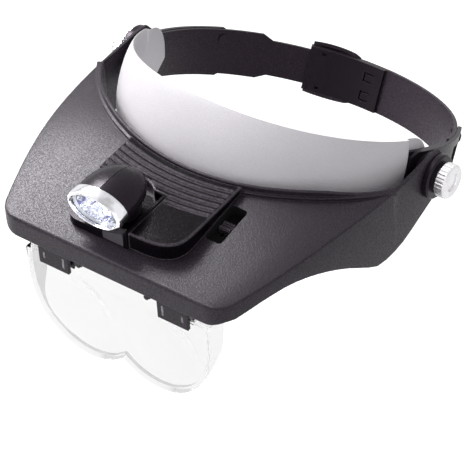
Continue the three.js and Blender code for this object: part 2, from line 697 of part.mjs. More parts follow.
// The right strap rides on its rivet by a slot and ends in a latch tongue that clicks into the sleeve.
function strapRight() {
  const end = SLEEVE_RIGHT_DEG - strapAngle(SEAT_GAP);
  const strip = ringStrip(STRIP_INSET, STRIP_THICKNESS, -STRAP_DROP, BAND_HALF, STRAP_FRONT_DEG, end, 24);
  const latchEnd = SLEEVE_RIGHT_DEG + LATCH_TONGUE_DEG;
  const latch = ringStrip(
    STRIP_INSET, STRIP_THICKNESS, -TONGUE_DROP, TONGUE_RISE, end - strapAngle(CUT_OVERRUN), latchEnd, 6,
  );
  const slotRadius = RIVET_RADIUS + STEM_CLEARANCE;
  const slotFrom = RIVET_DEG - ADJUST_TIGHTER_DEG;
  const slotTo = RIVET_DEG + ADJUST_LOOSER_DEG;
  const slot = ringStrip(
    STRIP_INSET - CUT_OVERRUN, STRIP_THICKNESS + 2 * CUT_OVERRUN,
    RIVET_RISE - slotRadius, RIVET_RISE + slotRadius, slotFrom, slotTo, 6,
  );
  const slotEnds = [slotFrom, slotTo].map((angle) => {
    const inside = STRIP_INSET + STRIP_THICKNESS + CUT_OVERRUN;
    return onRing(rod("x", slotRadius, -inside, CUT_OVERRUN), angle, RIVET_RISE);
  });
  return cut(join(strip, latch), slot, ...slotEnds);
}

// The left strap narrows by two notches to the toothed tongue that slides in the sleeve.
function strapLeft() {
  const corner = strapAngle(TONGUE_TIP_CORNER);
  const edgeAt = (angle, full, narrow) => {
    if (angle >= TONGUE_SHOULDER_FROM_DEG) return full;
    const shoulder = TONGUE_SHOULDER_FROM_DEG - TONGUE_SHOULDER_TO_DEG;
    const narrowing = (angle - TONGUE_SHOULDER_TO_DEG) / shoulder;
    if (narrowing > 0) return mix(narrow, full, narrowing);
    const tip = (angle - TONGUE_TIP_DEG) / corner;
    return narrow - (tip < 1 ? TONGUE_TIP_CORNER * (1 - tip) ** 2 : 0);
  };
  const start = 180 + LEFT_JOIN_DEG - LEFT_JOIN_GAP_DEG / 2;
  const stations = [
    ...steps(13).map((s) => mix(start, TONGUE_SHOULDER_FROM_DEG, s)),
    ...steps(10).map((s) => mix(TONGUE_SHOULDER_TO_DEG, TONGUE_TIP_DEG + corner, s)),
    ...steps(4).slice(1).map((s) => mix(TONGUE_TIP_DEG + corner, TONGUE_TIP_DEG, s)),
  ];
  const inside = STRIP_INSET + STRIP_THICKNESS;
  const rings = stations.map((angle) => {
    const low = -edgeAt(angle, STRAP_DROP, TONGUE_DROP);
    const high = edgeAt(angle, BAND_HALF, TONGUE_RISE);
    const section = [[STRIP_INSET, low], [STRIP_INSET, high], [inside, high], [inside, low]];
    return section.map(([inset, z]) => ringPoint(angle, inset, z));
  });
  const teeth = Array.from({ length: RATCHET_COUNT }, (_, i) => {
    const angle = TONGUE_SHOULDER_TO_DEG - (i + 1) * RATCHET_PITCH_DEG;
    const groove = RATCHET_PITCH_DEG / 4;
    return ringStrip(
      STRIP_INSET - CUT_OVERRUN, CUT_OVERRUN + RATCHET_DEPTH, -TONGUE_DROP / 2, TONGUE_DROP / 2,
      angle - groove, angle + groove, 1,
    );
  });
  const rivetHole = mirrored(rivetRod(RIVET_RADIUS + STEM_CLEARANCE, CUT_OVERRUN));
  return cut(loft(rings), rivetHole, ...teeth);
}

const BORE_INSET = STRIP_INSET - TONGUE_CLEARANCE;
const BORE_DEPTH = STRIP_THICKNESS + 2 * TONGUE_CLEARANCE;
const SLEEVE_INSET = BORE_INSET - SLEEVE_WALL;
const SLEEVE_DEPTH = BORE_DEPTH + 2 * SLEEVE_WALL;

// The adjuster sleeve: a flat tube with two sprung latch tabs and two small moulding holes.
function adjusterSleeve() {
  const body = ringStrip(
    SLEEVE_INSET, SLEEVE_DEPTH, -SLEEVE_DROP, SLEEVE_RISE, SLEEVE_RIGHT_DEG, SLEEVE_LEFT_DEG, 16,
  );
  const over = strapAngle(CUT_OVERRUN);
  const bore = ringStrip(
    BORE_INSET, BORE_DEPTH, -TONGUE_DROP - SLEEVE_TONGUE_MARGIN, TONGUE_RISE + SLEEVE_TONGUE_MARGIN,
    SLEEVE_RIGHT_DEG - over, SLEEVE_LEFT_DEG + over, 18,
  );
  const innerWall = [BORE_INSET + BORE_DEPTH / 2, BORE_DEPTH / 2 + SLEEVE_WALL + CUT_OVERRUN];
  const slot = (z0, z1, from, to) => ringStrip(innerWall[0], innerWall[1], z0, z1, from, to, 2);
  const tabCuts = [-1, 1].flatMap((side) => {
    const middle = side * TAB_WINDOW_RISE;
    const low = middle - TAB_WINDOW_HALF_HEIGHT;
    const high = middle + TAB_WINDOW_HALF_HEIGHT;
    const width = strapAngle(TAB_SLOT);
    return [
      slot(low, high, TAB_TO_DEG - width, TAB_TO_DEG),
      slot(low, low + TAB_SLOT, TAB_FROM_DEG, TAB_TO_DEG),
      slot(high - TAB_SLOT, high, TAB_FROM_DEG, TAB_TO_DEG),
    ];
  });
  const coreHoles = [-1, 1].map((side) => {
    const edge = CORE_HOLE_EDGE + CORE_HOLE_HALF_HEIGHT;
    const middle = side > 0 ? SLEEVE_RISE - edge : edge - SLEEVE_DROP;
    return slot(
      middle - CORE_HOLE_HALF_HEIGHT, middle + CORE_HOLE_HALF_HEIGHT,
      CORE_HOLE_DEG - CORE_HOLE_HALF_DEG, CORE_HOLE_DEG + CORE_HOLE_HALF_DEG,
    );
  });
  return cut(body, bore, ...tabCuts, ...coreHoles);
}

// The hollow thumb hump over the sleeve's outer face.
function adjusterHump() {
  const reach = SLEEVE_RISE + HUMP_OVERHANG;
  const foot = SLEEVE_INSET - SEAT_GAP;
  const section = (rise, half) => {
    const archShares = [0, 0.06, 0.2, 0.5, 0.8, 0.94, 1];
    const roof = archShares.map((share) => {
      const side = 2 * share - 1;
      return [foot - rise * Math.sqrt(Math.max(0, 1 - side ** 4)), side * half];
    });
    return [...roof, [foot, half * 0.999], [foot, -half * 0.999]].slice(0, archShares.length);
  };
  const profile = (share) => Math.sin(Math.PI * Math.min(1, 0.12 + share * 0.88)) ** 0.45;
  const hull = (rise, half, fromDeg, toDeg) => {
    const sectionAt = (_, share) => {
      const full = profile(1 - share);
      return section(mix(rise * 0.25, rise, full), mix(half * 0.86, half, full));
    };
    return ringSweep(sectionAt, fromDeg, toDeg, 9);
  };
  const outer = hull(HUMP_RISE, reach, HUMP_FROM_DEG, HUMP_TO_DEG);
  const wall = strapAngle(HUMP_WALL);
  const inner = hull(HUMP_RISE - HUMP_WALL, reach - HUMP_WALL, HUMP_FROM_DEG + wall, HUMP_TO_DEG - wall);
  return cut(outer, ringShift(inner));
}

// The same body carried inwards by the overrun, so that a hollow opens through its foot.
const ringShift = (body) => {
  const middle = ((HUMP_FROM_DEG + HUMP_TO_DEG) / 2) * DEG;
  return moved(body, -Math.cos(middle) * CUT_OVERRUN, -Math.sin(middle) * CUT_OVERRUN, 0);
};

// The visor, in its own frame

// Height of the plate's upper face above the axis: arched at mid length, and less so at its sides.
function plateTop(y, x = 0) {
  if (y > 0) return Math.sqrt(Math.max(0, PLATE_RISE ** 2 - y ** 2));
  const along = Math.min(1, -y / VISOR_REACH);
  const aside = Math.min(1, Math.max(0, (Math.abs(x) - PLATE_CROWN_HALF) / (EAR_INNER - PLATE_CROWN_HALF)));
  return PLATE_RISE + mix(PLATE_ARCH, PLATE_SIDE_ARCH, aside ** 2) * Math.sin(Math.PI * along) ** 2;
}

// Half width of the outer wall: drawn in more and more towards the front corners.
function wallHalf(y) {
  return VISOR_HALF_WIDTH - SHOULDER_TAPER * Math.max(0, -y / VISOR_REACH) ** shoulderPowerShare;
}

// The skirt's lower edge, as shares of the visor's reach and of the skirt's deepest drop.
const skirtShares = [
  [0.09, -0.72],
  [0.2, -0.95],
  [0.3, -1],
  [0.355, -0.89],
  [0.5, -0.29],
  [0.63, 0.09],
  [0.745, 0.255],
  [0.87, 0.22],
  [0.92, 0.15],
  [0.97, 0.15],
];
const skirtLine = new THREE.SplineCurve([
  new THREE.Vector2(0, -PLATE_RISE),
  ...skirtShares.map(([reach, drop]) => new THREE.Vector2(reach * VISOR_REACH, drop * SKIRT_DROP)),
  new THREE.Vector2(VISOR_REACH, PLATE_RISE - SKIRT_FRONT_DROP),
]);
const skirtSamples = skirtLine.getPoints(120);
function skirtBottom(y) {
  if (y > 0) return -plateTop(y);
  const next = skirtSamples.findIndex((p) => p.x >= -y);
  if (next <= 0) return skirtSamples[0].y;
  const [a, b] = [skirtSamples[next - 1], skirtSamples[next]];
  return mix(a.y, b.y, (-y - a.x) / (b.x - a.x));
}

// The closed hull that the visor's outer or inner faces lie on, skinned from front to back.
function visorHull(inset, rearY, bottomOf) {
  const front = -VISOR_REACH + inset;
  const radius = VISOR_CORNER_RADIUS - inset;
  const slope = (wallHalf(front + radius / 2) - wallHalf(front)) / (radius / 2);
  const arcEnd = Math.PI / 2 - Math.atan(slope);
  const arcY = (a) => front + radius * (1 - Math.cos(a));
  const centre = wallHalf(arcY(arcEnd)) - inset - radius * Math.sin(arcEnd);
  const halfAt = (y) => {
    const along = (y - front) / radius;
    if (y >= arcY(arcEnd)) return wallHalf(y) - inset;
    return centre + radius * Math.sqrt(Math.max(0, 1 - (1 - along) ** 2));
  };
  const crease = inset > 0 ? CREASE_RADIUS / 2 : CREASE_RADIUS;
  const frontDrop = (y) => {
    const along = (y - front) / crease;
    return along >= 1 ? 0 : crease * (1 - Math.sqrt(Math.max(0, 1 - (1 - along) ** 2)));
  };
  const edgeStations = [0, 0.08, 0.3, 0.6, 1].map((share) => front + crease * share);
  const arcPlaces = steps(4).slice(1).map((share) => arcY(arcEnd * share));
  const arcStations = arcPlaces.filter((y) => y > front + crease);
  const rest = steps(22).slice(1).map((share) => mix(arcY(arcEnd), rearY, share));
  const rings = [...edgeStations, ...arcStations, ...rest].map((y) => {
    const half = halfAt(y);
    const bottom = bottomOf(y);
    const sink = inset + frontDrop(y);
    const side = plateTop(y, half) - sink;
    const round = Math.min(crease, (side - bottom) / 3);
    const corner = steps(3).map((share) => {
      const angle = (share * Math.PI) / 2;
      return [half - round + round * Math.cos(angle), side - round + round * Math.sin(angle)];
    });
    const crown = [0.55, 0.15].map((share) => {
      const x = mix(PLATE_CROWN_HALF, half - round, share);
      return [x, plateTop(y, x) - sink];
    });
    const right = [[half, bottom], ...corner, ...crown];
    const left = [...right].reverse().map(([x, z]) => [-x, z]);
    return [...right, ...left].map(([x, z]) => new THREE.Vector3(x, y, z));
  });
  return loft(rings);
}

// Points of an ellipse about the rim's centre, grown outwards, between two places along X.
function rimPoint(angle, growth) {
  const x = (RIM_HALF_WIDTH + growth) * Math.sin(angle);
  const y = AXIS_SETBACK - (RIM_HALF_DEPTH + growth) * Math.cos(angle);
  return [x, y];
}
const rimAngleAt = (x, growth = 0) => Math.asin(x / (RIM_HALF_WIDTH + growth));

// A prism over everything behind the rim's curve and between the ears.
function behindRim(growth, halfWidth, z0, z1) {
  const end = rimAngleAt(halfWidth, growth);
  const curve = steps(32).map((share) => rimPoint(mix(-end, end, share), growth));
  const outline = [...curve, [halfWidth, VISOR_REACH / 2], [-halfWidth, VISOR_REACH / 2]];
  return prism(new THREE.Shape(outline.map(([x, y]) => new THREE.Vector2(x, y))), z0, z1);
}

// The raised rim along the head's edge of the plate, with a low step before it.
function rim() {
  const end = rimAngleAt(EAR_INNER + VISOR_WALL / 2);
  const rings = steps(32).map((share) => {
    const angle = mix(-end, end, share);
    const [x] = rimPoint(angle, 0);
    const room = Math.max(0, EAR_INNER - Math.abs(x));
    const rise = RIM_RISE * Math.min(1, 0.12 + room / RIM_TAPER);
    const stepRise = Math.min(RIM_STEP_RISE, rise / 2);
    const section = [
      [-RIM_THICKNESS, -VISOR_WALL],
      [RIM_STEP_WIDTH, -VISOR_WALL],
      [RIM_STEP_WIDTH, stepRise],
      [0, stepRise + RIM_EDGE / 2],
      [0, rise - Math.min(RIM_EDGE, rise / 4)],
      [-RIM_EDGE, rise],
      [RIM_EDGE - RIM_THICKNESS, rise],
      [-RIM_THICKNESS, rise - Math.min(RIM_EDGE, rise / 4)],
    ];
    return section.map(([growth, dz]) => {
      const [px, py] = rimPoint(angle, growth);
      return new THREE.Vector3(px, py, plateTop(py, px) + dz);
    });
  });
  return loft(rings);
}

const POCKET_RIGHT = POCKET_LEFT + POCKET_WIDTH;
const POCKET_REAR = POCKET_FRONT - POCKET_LENGTH;
const POCKET_FLOOR = plateTop(-POCKET_FRONT) - POCKET_DEPTH;
const SWITCH_X = (POCKET_LEFT + POCKET_RIGHT) / 2 - SWITCH_ASIDE;
const SWITCH_Y = -(POCKET_FRONT + POCKET_REAR) / 2;

function visorShell() {
  const outer = visorHull(0, PLATE_RISE * 0.985, skirtBottom);
  const deep = SKIRT_DROP * 2;
  const inner = visorHull(VISOR_WALL, PLATE_RISE + CUT_OVERRUN, () => -deep);
  const ceiling = PLATE_RISE + PLATE_ARCH + RIM_RISE + CUT_OVERRUN;
  const opening = behindRim(-RIM_THICKNESS, EAR_INNER, -deep, ceiling);
  const shell = join(cut(outer, inner, opening), rim());
  const earHole = rod("x", STEM_RADIUS + STEM_CLEARANCE, -VISOR_HALF_WIDTH * 2, VISOR_HALF_WIDTH * 2);
  const lip = POCKET_WALL;
  const pocketTop = plateTop(-POCKET_REAR) - VISOR_WALL / 2;
  const pocketCase = block(
    POCKET_LEFT - lip, POCKET_RIGHT + lip, -POCKET_FRONT - lip, -POCKET_REAR + lip,
    POCKET_FLOOR - lip, plateTop(-POCKET_FRONT) - VISOR_WALL / 2,
  );
  const pocketWalls = block(
    POCKET_LEFT - lip, POCKET_RIGHT + lip, -POCKET_REAR - POCKET_LENGTH / 2, -POCKET_REAR + lip,
    POCKET_FLOOR, pocketTop,
  );
  const pocketShape = roundedRectangle(POCKET_LEFT, POCKET_RIGHT, -POCKET_FRONT, -POCKET_REAR, POCKET_CORNER);
  const pocket = prism(pocketShape, POCKET_FLOOR, ceiling, 4);
  const slotHalf = (SWITCH_TRAVEL + SWITCH_SLOT_WIDTH) / 2 + SEAT_GAP;
  const slot = block(
    SWITCH_X - SWITCH_SLOT_WIDTH / 2, SWITCH_X + SWITCH_SLOT_WIDTH / 2,
    SWITCH_Y - slotHalf, SWITCH_Y + slotHalf, POCKET_FLOOR - lip - CUT_OVERRUN, POCKET_FLOOR + CUT_OVERRUN,
  );
  const lampWell = moved(
    rod("z", TURNTABLE_STEM_RADIUS + TURNTABLE_CLEARANCE, 0, ceiling), -LAMP_OFFSET, -LAMP_SETBACK, 0,
  );
  const screwHole = rod("z", SCREW_RADIUS + SEAT_GAP / 2, 0, ceiling);
  const screwHoles = basePlaces.map(([x, y]) => moved(screwHole, x, y, 0));
  const holes = [earHole, pocket, slot, lampWell, cellOpening(), ...screwHoles];
  return cut(join(shell, pocketCase, pocketWalls), ...holes);
}

// A friction washer between ear and knob: a flat disc with a raised hub.
function frictionWasher() {
  const hole = STEM_RADIUS + STEM_CLEARANCE;
  return turned(
    [
      [hole, WASHER_SEAT],
      [WASHER_RADIUS, WASHER_SEAT],
      [WASHER_RADIUS, WASHER_TOP - KNOB_EDGE],
      [WASHER_RADIUS - KNOB_EDGE, WASHER_TOP],
      [WASHER_HUB_RADIUS, WASHER_TOP],
      [WASHER_HUB_RADIUS, WASHER_TOP + WASHER_HUB_RISE],
      [hole, WASHER_TOP + WASHER_HUB_RISE],
      [hole, WASHER_SEAT],
    ],
    "x",
  );
}

// The lens plate and its clips

const LENS_FACE = -VISOR_REACH + LENS_FACE_INSET;

// Half of the twin outline below the shoulder, as shares of the half width and of the drop.
const lobeShares = [
  [1, 0.34],
  [0.975, 0.53],
  [0.88, 0.745],
  [0.71, 0.905],
  [0.53, 0.985],
  [0.34, 1],
  [0.15, 0.955],
];

function lensOutline(inset = 0) {
  const half = LENS_HALF_WIDTH - inset;
  const drop = LENS_DROP - inset;
  const side = lobeShares.map(([x, z]) => new THREE.Vector2(x * half, -z * drop));
  const notch = new THREE.Vector2(0, -LENS_NOTCH_DROP + inset);
  const shoulder = LENS_SHOULDER_DROP + inset;
  const tab = CLIP_INNER + CLIP_WIDTH - inset;
  const shape = new THREE.Shape();
  shape.moveTo(tab, -LENS_TOP_DROP);
  shape.lineTo(-tab, -LENS_TOP_DROP);
  shape.lineTo(-tab, -shoulder);
  shape.lineTo(-half, -shoulder);
  const left = side.map((p) => new THREE.Vector2(-p.x, p.y));
  shape.splineThru([...left, notch]);
  shape.splineThru([...side].reverse());
  shape.lineTo(half, -shoulder);
  shape.lineTo(tab, -shoulder);
  return shape;
}

// The clear plate: a flat face, a peripheral skirt that deepens upwards and two magnifying lobes.
function lensPlate() {
  const plate = frontPrism(lensOutline(), LENS_FACE, LENS_FACE + LENS_THICKNESS, LENS_SEGMENTS);
  const low = LENS_FACE + LENS_SKIRT_LOW_DEPTH;
  const high = LENS_FACE + LENS_SKIRT_DEPTH;
  const skirt = cut(
    frontPrism(lensOutline(), LENS_FACE, high, LENS_SEGMENTS),
    frontPrism(lensOutline(LENS_SKIRT_WALL), LENS_FACE - CUT_OVERRUN, high + CUT_OVERRUN, LENS_SEGMENTS),
  );
  const kept = sidePrism(
    [
      [LENS_FACE + LENS_THICKNESS / 2, -LENS_SHOULDER_DROP - SEAT_GAP],
      [high, -LENS_SHOULDER_DROP - SEAT_GAP],
      [mix(low, high, 0.72), -LENS_DROP * 0.47],
      [mix(low, high, 0.1), -LENS_DROP * 0.64],
      [low, -LENS_DROP * 0.72],
      [low, -LENS_DROP - CUT_OVERRUN],
      [LENS_FACE + LENS_THICKNESS / 2, -LENS_DROP - CUT_OVERRUN],
    ],
    -LENS_HALF_WIDTH - CUT_OVERRUN,
    LENS_HALF_WIDTH + CUT_OVERRUN,
  );
  const clipRoom = block(
    -CLIP_INNER - CLIP_WIDTH - SEAT_GAP, CLIP_INNER + CLIP_WIDTH + SEAT_GAP, LENS_FACE + LENS_THICKNESS,
    high + CUT_OVERRUN, -CLIP_DROP - SEAT_GAP - CLIP_SLOT_CLEARANCE, 0,
  );
  const sphere = (LOBE_RADIUS ** 2 + LOBE_BULGE ** 2) / (2 * LOBE_BULGE);
  const capAngle = Math.asin(LOBE_RADIUS / sphere);
  const cap = steps(4).map((share) => {
    const angle = capAngle * share;
    return [sphere * Math.sin(angle), LOBE_BULGE - sphere * (1 - Math.cos(angle))];
  });
  const domeFoot = -LENS_THICKNESS / 2;
  const dome = turned([...cap, [LOBE_RADIUS, domeFoot], [0, domeFoot]], "y", ROUND_SEGMENTS);
  const front = turnedBy(dome, "x", Math.PI);
  const lobes = [-1, 1].map((side) => {
    const bulge = join(
      moved(front, side * LOBE_OFFSET, LENS_FACE, -LOBE_DROP),
      moved(dome, side * LOBE_OFFSET, LENS_FACE + LENS_THICKNESS, -LOBE_DROP),
    );
    const half = frontPrism(lensOutline(SEAT_GAP), LENS_FACE - LOBE_BULGE * 2, high, LENS_SEGMENTS);
    return bulge.intersect(half);
  });
  return join(plate, cut(skirt.intersect(kept), clipRoom), ...lobes);
}

const CLIP_FACE = -VISOR_REACH + CLIP_FRONT_INSET;
const CLIP_SLOT_FRONT = LENS_FACE - CLIP_SLOT_CLEARANCE;
const CLIP_SLOT_REAR = LENS_FACE + LENS_THICKNESS + CLIP_SLOT_CLEARANCE;
const CLIP_REAR = CLIP_SLOT_REAR + CLIP_WALL;

// A lens clip: a channel that the plate's top tab slides up into, with two windows in its face.
function lensClip() {
  const skirtEdge = PLATE_RISE - SKIRT_FRONT_DROP;
  const neckFront = -VISOR_REACH + VISOR_WALL + SEAT_GAP;
  const neckTop = plateTop(CLIP_REAR) - VISOR_WALL - SEAT_GAP;
  const left = CLIP_INNER;
  const right = CLIP_INNER + CLIP_WIDTH;
  const body = sidePrism(
    [
      [neckFront, plateTop(neckFront) - VISOR_WALL - SEAT_GAP - CREASE_RADIUS / 2],
      [neckFront, skirtEdge - SEAT_GAP],
      [CLIP_FACE, skirtEdge - SEAT_GAP],
      [CLIP_FACE, -CLIP_DROP],
      [CLIP_REAR - CLIP_CHAMFER, -CLIP_DROP],
      [CLIP_REAR, -CLIP_DROP + CLIP_CHAMFER],
      [CLIP_REAR, neckTop],
      [neckFront + CREASE_RADIUS, neckTop],
    ],
    left,
    right,
  );
  const slot = block(
    left - CUT_OVERRUN, right + CUT_OVERRUN, CLIP_SLOT_FRONT, CLIP_SLOT_REAR,
    -CLIP_DROP - CUT_OVERRUN, -LENS_TOP_DROP + CLIP_SLOT_CLEARANCE,
  );
  const window = (x, length) =>
    block(
      x, x + CLIP_WINDOW_WIDTH, CLIP_FACE - CUT_OVERRUN, CLIP_SLOT_FRONT + CUT_OVERRUN,
      -CLIP_DROP / 2 - length / 2, -CLIP_DROP / 2 + length / 2,
    );
  const outerWindow = window(left + 2 * CLIP_WINDOW_WIDTH, CLIP_WINDOW_LONG);
  const innerWindow = window(right - 3 * CLIP_WINDOW_WIDTH, CLIP_WINDOW_SHORT);
  return cut(body, slot, outerWindow, innerWindow);
}

// A small round hook under the skirt that keeps the plate's top edge from rocking.
function lensHook(side) {
  const skirtEdge = PLATE_RISE - SKIRT_FRONT_DROP;
  const x = side * HOOK_OFFSET;
  const peg = rod("y", HOOK_RADIUS, CLIP_FACE, LENS_FACE - CLIP_SLOT_CLEARANCE);
  const neck = block(
    -HOOK_RADIUS, HOOK_RADIUS, -VISOR_REACH + VISOR_WALL + SEAT_GAP, LENS_FACE - CLIP_SLOT_CLEARANCE,
    0, PLATE_RISE - VISOR_WALL - CREASE_RADIUS + LENS_TOP_DROP,
  );
  const raised = moved(neck, x, 0, -LENS_TOP_DROP);
  return join(moved(peg, x, 0, skirtEdge - SEAT_GAP - HOOK_RADIUS - LENS_TOP_DROP / 2), raised);
}

// The battery cover and what lies under it

// A body that fills everything up to a height above the plate's arched upper face.
function underPlate(rise, x0, x1, y0, y1, low) {
  const top = steps(16).map((share) => {
    const y = mix(y0, y1, share);
    return [y, plateTop(y) + rise];
  });
  return sidePrism([[y0, low], ...top, [y1, low]], x0, x1);
}

const plateCut = (rise) =>
  underPlate(rise, -VISOR_HALF_WIDTH, VISOR_HALF_WIDTH, -VISOR_REACH, -PLATE_REAR, -SKIRT_DROP);

// A loop of plan points carried inwards, with mitred corners.
function insetLoop(points, inset) {
  const inward = (from, to) => new THREE.Vector2(from.y - to.y, to.x - from.x).normalize();
  return points.map((p, i) => {
    const a = inward(points.at(i - 1), p);
    const b = inward(p, points[(i + 1) % points.length]);
    const share = inset / (1 + a.dot(b));
    return new THREE.Vector2(p.x + (a.x + b.x) * share, p.y + (a.y + b.y) * share);
  });
}

// The cover's plan: a soft front corner, a rear edge along the rim and a bay round the lamp's tail.
function coverPlan() {
  const corner = steps(9).map((share) => {
    const angle = (share * Math.PI) / 2;
    const power = 2 / coverCornerPowerShare;
    const x = COVER_RIGHT - COVER_CORNER_X * (1 - Math.sin(angle) ** power);
    return [x, COVER_CORNER_Y * (1 - Math.cos(angle) ** power) - COVER_FRONT];
  });
  const from = rimAngleAt(COVER_RIGHT, SEAT_GAP);
  const to = rimAngleAt(-COVER_LEFT, SEAT_GAP);
  const rear = steps(10).map((share) => rimPoint(mix(from, to, share), SEAT_GAP));
  const centre = BAY_RADIUS - BAY_DEPTH;
  const half = Math.acos(centre / BAY_RADIUS);
  const bay = steps(6).map((share) => {
    const angle = mix(-half, half, share);
    return [BAY_RADIUS * Math.sin(angle) - LAMP_OFFSET, BAY_RADIUS * Math.cos(angle) - centre - BAY_REAR];
  });
  const points = [...corner, ...rear, [-COVER_LEFT, -BAY_REAR], ...bay, [BAY_LEFT, -BAY_REAR]];
  return points.map(([x, y]) => new THREE.Vector2(x, y));
}

const coverTop = (y) => COVER_RISE + Math.tan(COVER_SLOPE_DEG * DEG) * (y + COVER_FRONT);

// A body over the cover's plan, with its top parallel to the cover's and an optional soft edge.
function coverBody(inset, low, drop, edge) {
  const ring = (more, heightAt) =>
    insetLoop(coverPlan(), inset + more).map((p) => new THREE.Vector3(p.x, p.y, heightAt(p.y)));
  const rings = [ring(0, () => low)];
  if (edge > 0) {
    rings.push(ring(0, (y) => coverTop(y) - drop - edge));
    rings.push(ring(edge * 0.3, (y) => coverTop(y) - drop - edge * 0.3));
  }
  rings.push(ring(edge, (y) => coverTop(y) - drop));
  return loft(rings);
}

// The battery cover: a thin shell with a soft edge and curved grip ribs that follow the rim.
function batteryCover() {
  const low = PLATE_RISE - CUT_OVERRUN;
  const shell = cut(
    coverBody(0, low, 0, COVER_EDGE),
    coverBody(COVER_WALL, low - CUT_OVERRUN, COVER_WALL, 0),
  );
  const ribs = Array.from({ length: RIB_COUNT }, (_, i) => {
    const growth = RIM_STEP_WIDTH + RIB_FIRST + i * RIB_PITCH;
    const from = rimAngleAt(-COVER_LEFT, growth);
    const to = rimAngleAt(COVER_RIGHT, growth);
    const rings = steps(8).map((share) => {
      const angle = mix(from, to, share);
      const section = [
        [-RIB_WIDTH / 2, -COVER_WALL / 2],
        [RIB_WIDTH / 2, -COVER_WALL / 2],
        [RIB_WIDTH / 2, 0],
        [RIB_WIDTH / 4, RIB_RISE],
        [-RIB_WIDTH / 4, RIB_RISE],
        [-RIB_WIDTH / 2, 0],
      ];
      return section.map(([side, dz]) => {
        const [x, y] = rimPoint(angle, growth + side);
        return new THREE.Vector3(x, y, coverTop(y) + dz);
      });
    });
    return loft(rings);
  });
  const ribZone = coverBody(COVER_EDGE * 2, PLATE_RISE, -RIB_RISE * 2, 0);
  const grip = join(...ribs).intersect(ribZone);
  const step = cut(
    underPlate(
      RIM_STEP_RISE + RIM_EDGE / 2 + SEAT_GAP, -VISOR_HALF_WIDTH, VISOR_HALF_WIDTH, -VISOR_REACH,
      -PLATE_REAR, -SKIRT_DROP,
    ),
    frontOfRim(RIM_STEP_WIDTH + SEAT_GAP),
  );
  return cut(join(shell, grip), plateCut(SEAT_GAP), step);
}

// A prism over everything before the rim's curve grown by a width.
function frontOfRim(growth) {
  const all = block(
    -VISOR_HALF_WIDTH * 2, VISOR_HALF_WIDTH * 2, -VISOR_REACH * 2, 0, -VISOR_REACH, VISOR_REACH,
  );
  return cut(all, behindRim(growth, VISOR_HALF_WIDTH, -VISOR_REACH * 2, VISOR_REACH * 2));
}

const cellX = (row) => CELL_OFFSET + (row - 0.5) * CELL_SPACING;
const CELL_MIDDLE = (CONTACT_ROOM - CELL_NUB_LENGTH) / 2;

// The opening in the plate that the cells reach up through, kept inside the cover's walls.
function cellOpening() {
  const hole = block(
    CELL_OFFSET - TRAY_SIDE, CELL_OFFSET + TRAY_SIDE, -CELL_SETBACK - TRAY_END, -CELL_SETBACK + TRAY_END,
    0, COVER_RISE,
  );
  return hole.intersect(coverBody(COVER_WALL - SEAT_GAP, 0, 0, 0));
}

// The tray under the plate: an open trough with a flange that follows the plate's lower face.
function batteryTray() {
  const x0 = CELL_OFFSET - TRAY_SIDE;
  const x1 = CELL_OFFSET + TRAY_SIDE;
  const y0 = -CELL_SETBACK - TRAY_END;
  const y1 = -CELL_SETBACK + TRAY_END;
  const floor = CELL_RISE - CELL_RADIUS - SEAT_GAP;
  const roof = -VISOR_WALL - SEAT_GAP;
  const box = underPlate(
    roof, x0 - TRAY_WALL, x1 + TRAY_WALL, y0 - TRAY_WALL, y1 + TRAY_WALL, floor - TRAY_WALL,
  );
  const reach = TRAY_WALL + TRAY_FLANGE;
  const flange = cut(
    underPlate(roof, x0 - reach, x1 + reach, y0 - TRAY_WALL, y1 + reach, floor),
    underPlate(
      roof - TRAY_WALL, x0 - reach - CUT_OVERRUN, x1 + reach + CUT_OVERRUN, y0 - reach - CUT_OVERRUN,
      y1 + reach + CUT_OVERRUN, floor - CUT_OVERRUN,
    ),
  );
  return cut(join(box, flange), block(x0, x1, y0, y1, floor, COVER_RISE));
}

function cell(row) {
  const half = CELL_LENGTH / 2;
  const body = turned(
    [
      [0, -half],
      [CELL_RADIUS, -half],
      [CELL_RADIUS, half],
      [CELL_NUB_RADIUS, half],
      [CELL_NUB_RADIUS, half + CELL_NUB_LENGTH],
      [0, half + CELL_NUB_LENGTH],
    ],
    "y",
    24,
  );
  const way = row === 0 ? 1 : -1;
  const placed = way > 0 ? body : turnedBy(body, "z", Math.PI);
  return moved(placed, cellX(row), -CELL_SETBACK + way * CELL_MIDDLE, CELL_RISE);
}

// A conical coil spring between a cell's flat end and its contact.
function contactSpring(row) {
  const way = row === 0 ? -1 : 1;
  const wallEnd = TRAY_END - CONTACT_THICKNESS - SEAT_GAP / 2;
  const cellEnd = CELL_LENGTH / 2 - CELL_MIDDLE + SEAT_GAP / 2;
  const points = steps(6 * SPRING_TURNS).map((share) => {
    const angle = share * SPRING_TURNS * 2 * Math.PI;
    const radius = mix(SPRING_COIL_RADIUS, SPRING_COIL_RADIUS * 0.5, share);
    const y = mix(wallEnd - SPRING_WIRE_RADIUS, cellEnd + SPRING_WIRE_RADIUS, share);
    return new THREE.Vector3(radius * Math.cos(angle), y, radius * Math.sin(angle));
  });
  const section = steps(5).slice(1).map((share) => {
    const angle = share * 2 * Math.PI;
    return [Math.cos(angle), Math.sin(angle)];
  });
  const rings = points.map((p) => {
    const outward = new THREE.Vector3(p.x, 0, p.z).normalize();
    return section.map(([a, b]) => new THREE.Vector3(
      p.x + b * SPRING_WIRE_RADIUS * outward.x,
      p.y + a * SPRING_WIRE_RADIUS,
      p.z + b * SPRING_WIRE_RADIUS * outward.z,
    ));
  });
  const coil = loft(rings);
  const placed = way > 0 ? coil : turnedBy(coil, "z", Math.PI);
  return moved(placed, cellX(row), -CELL_SETBACK, CELL_RISE);
}

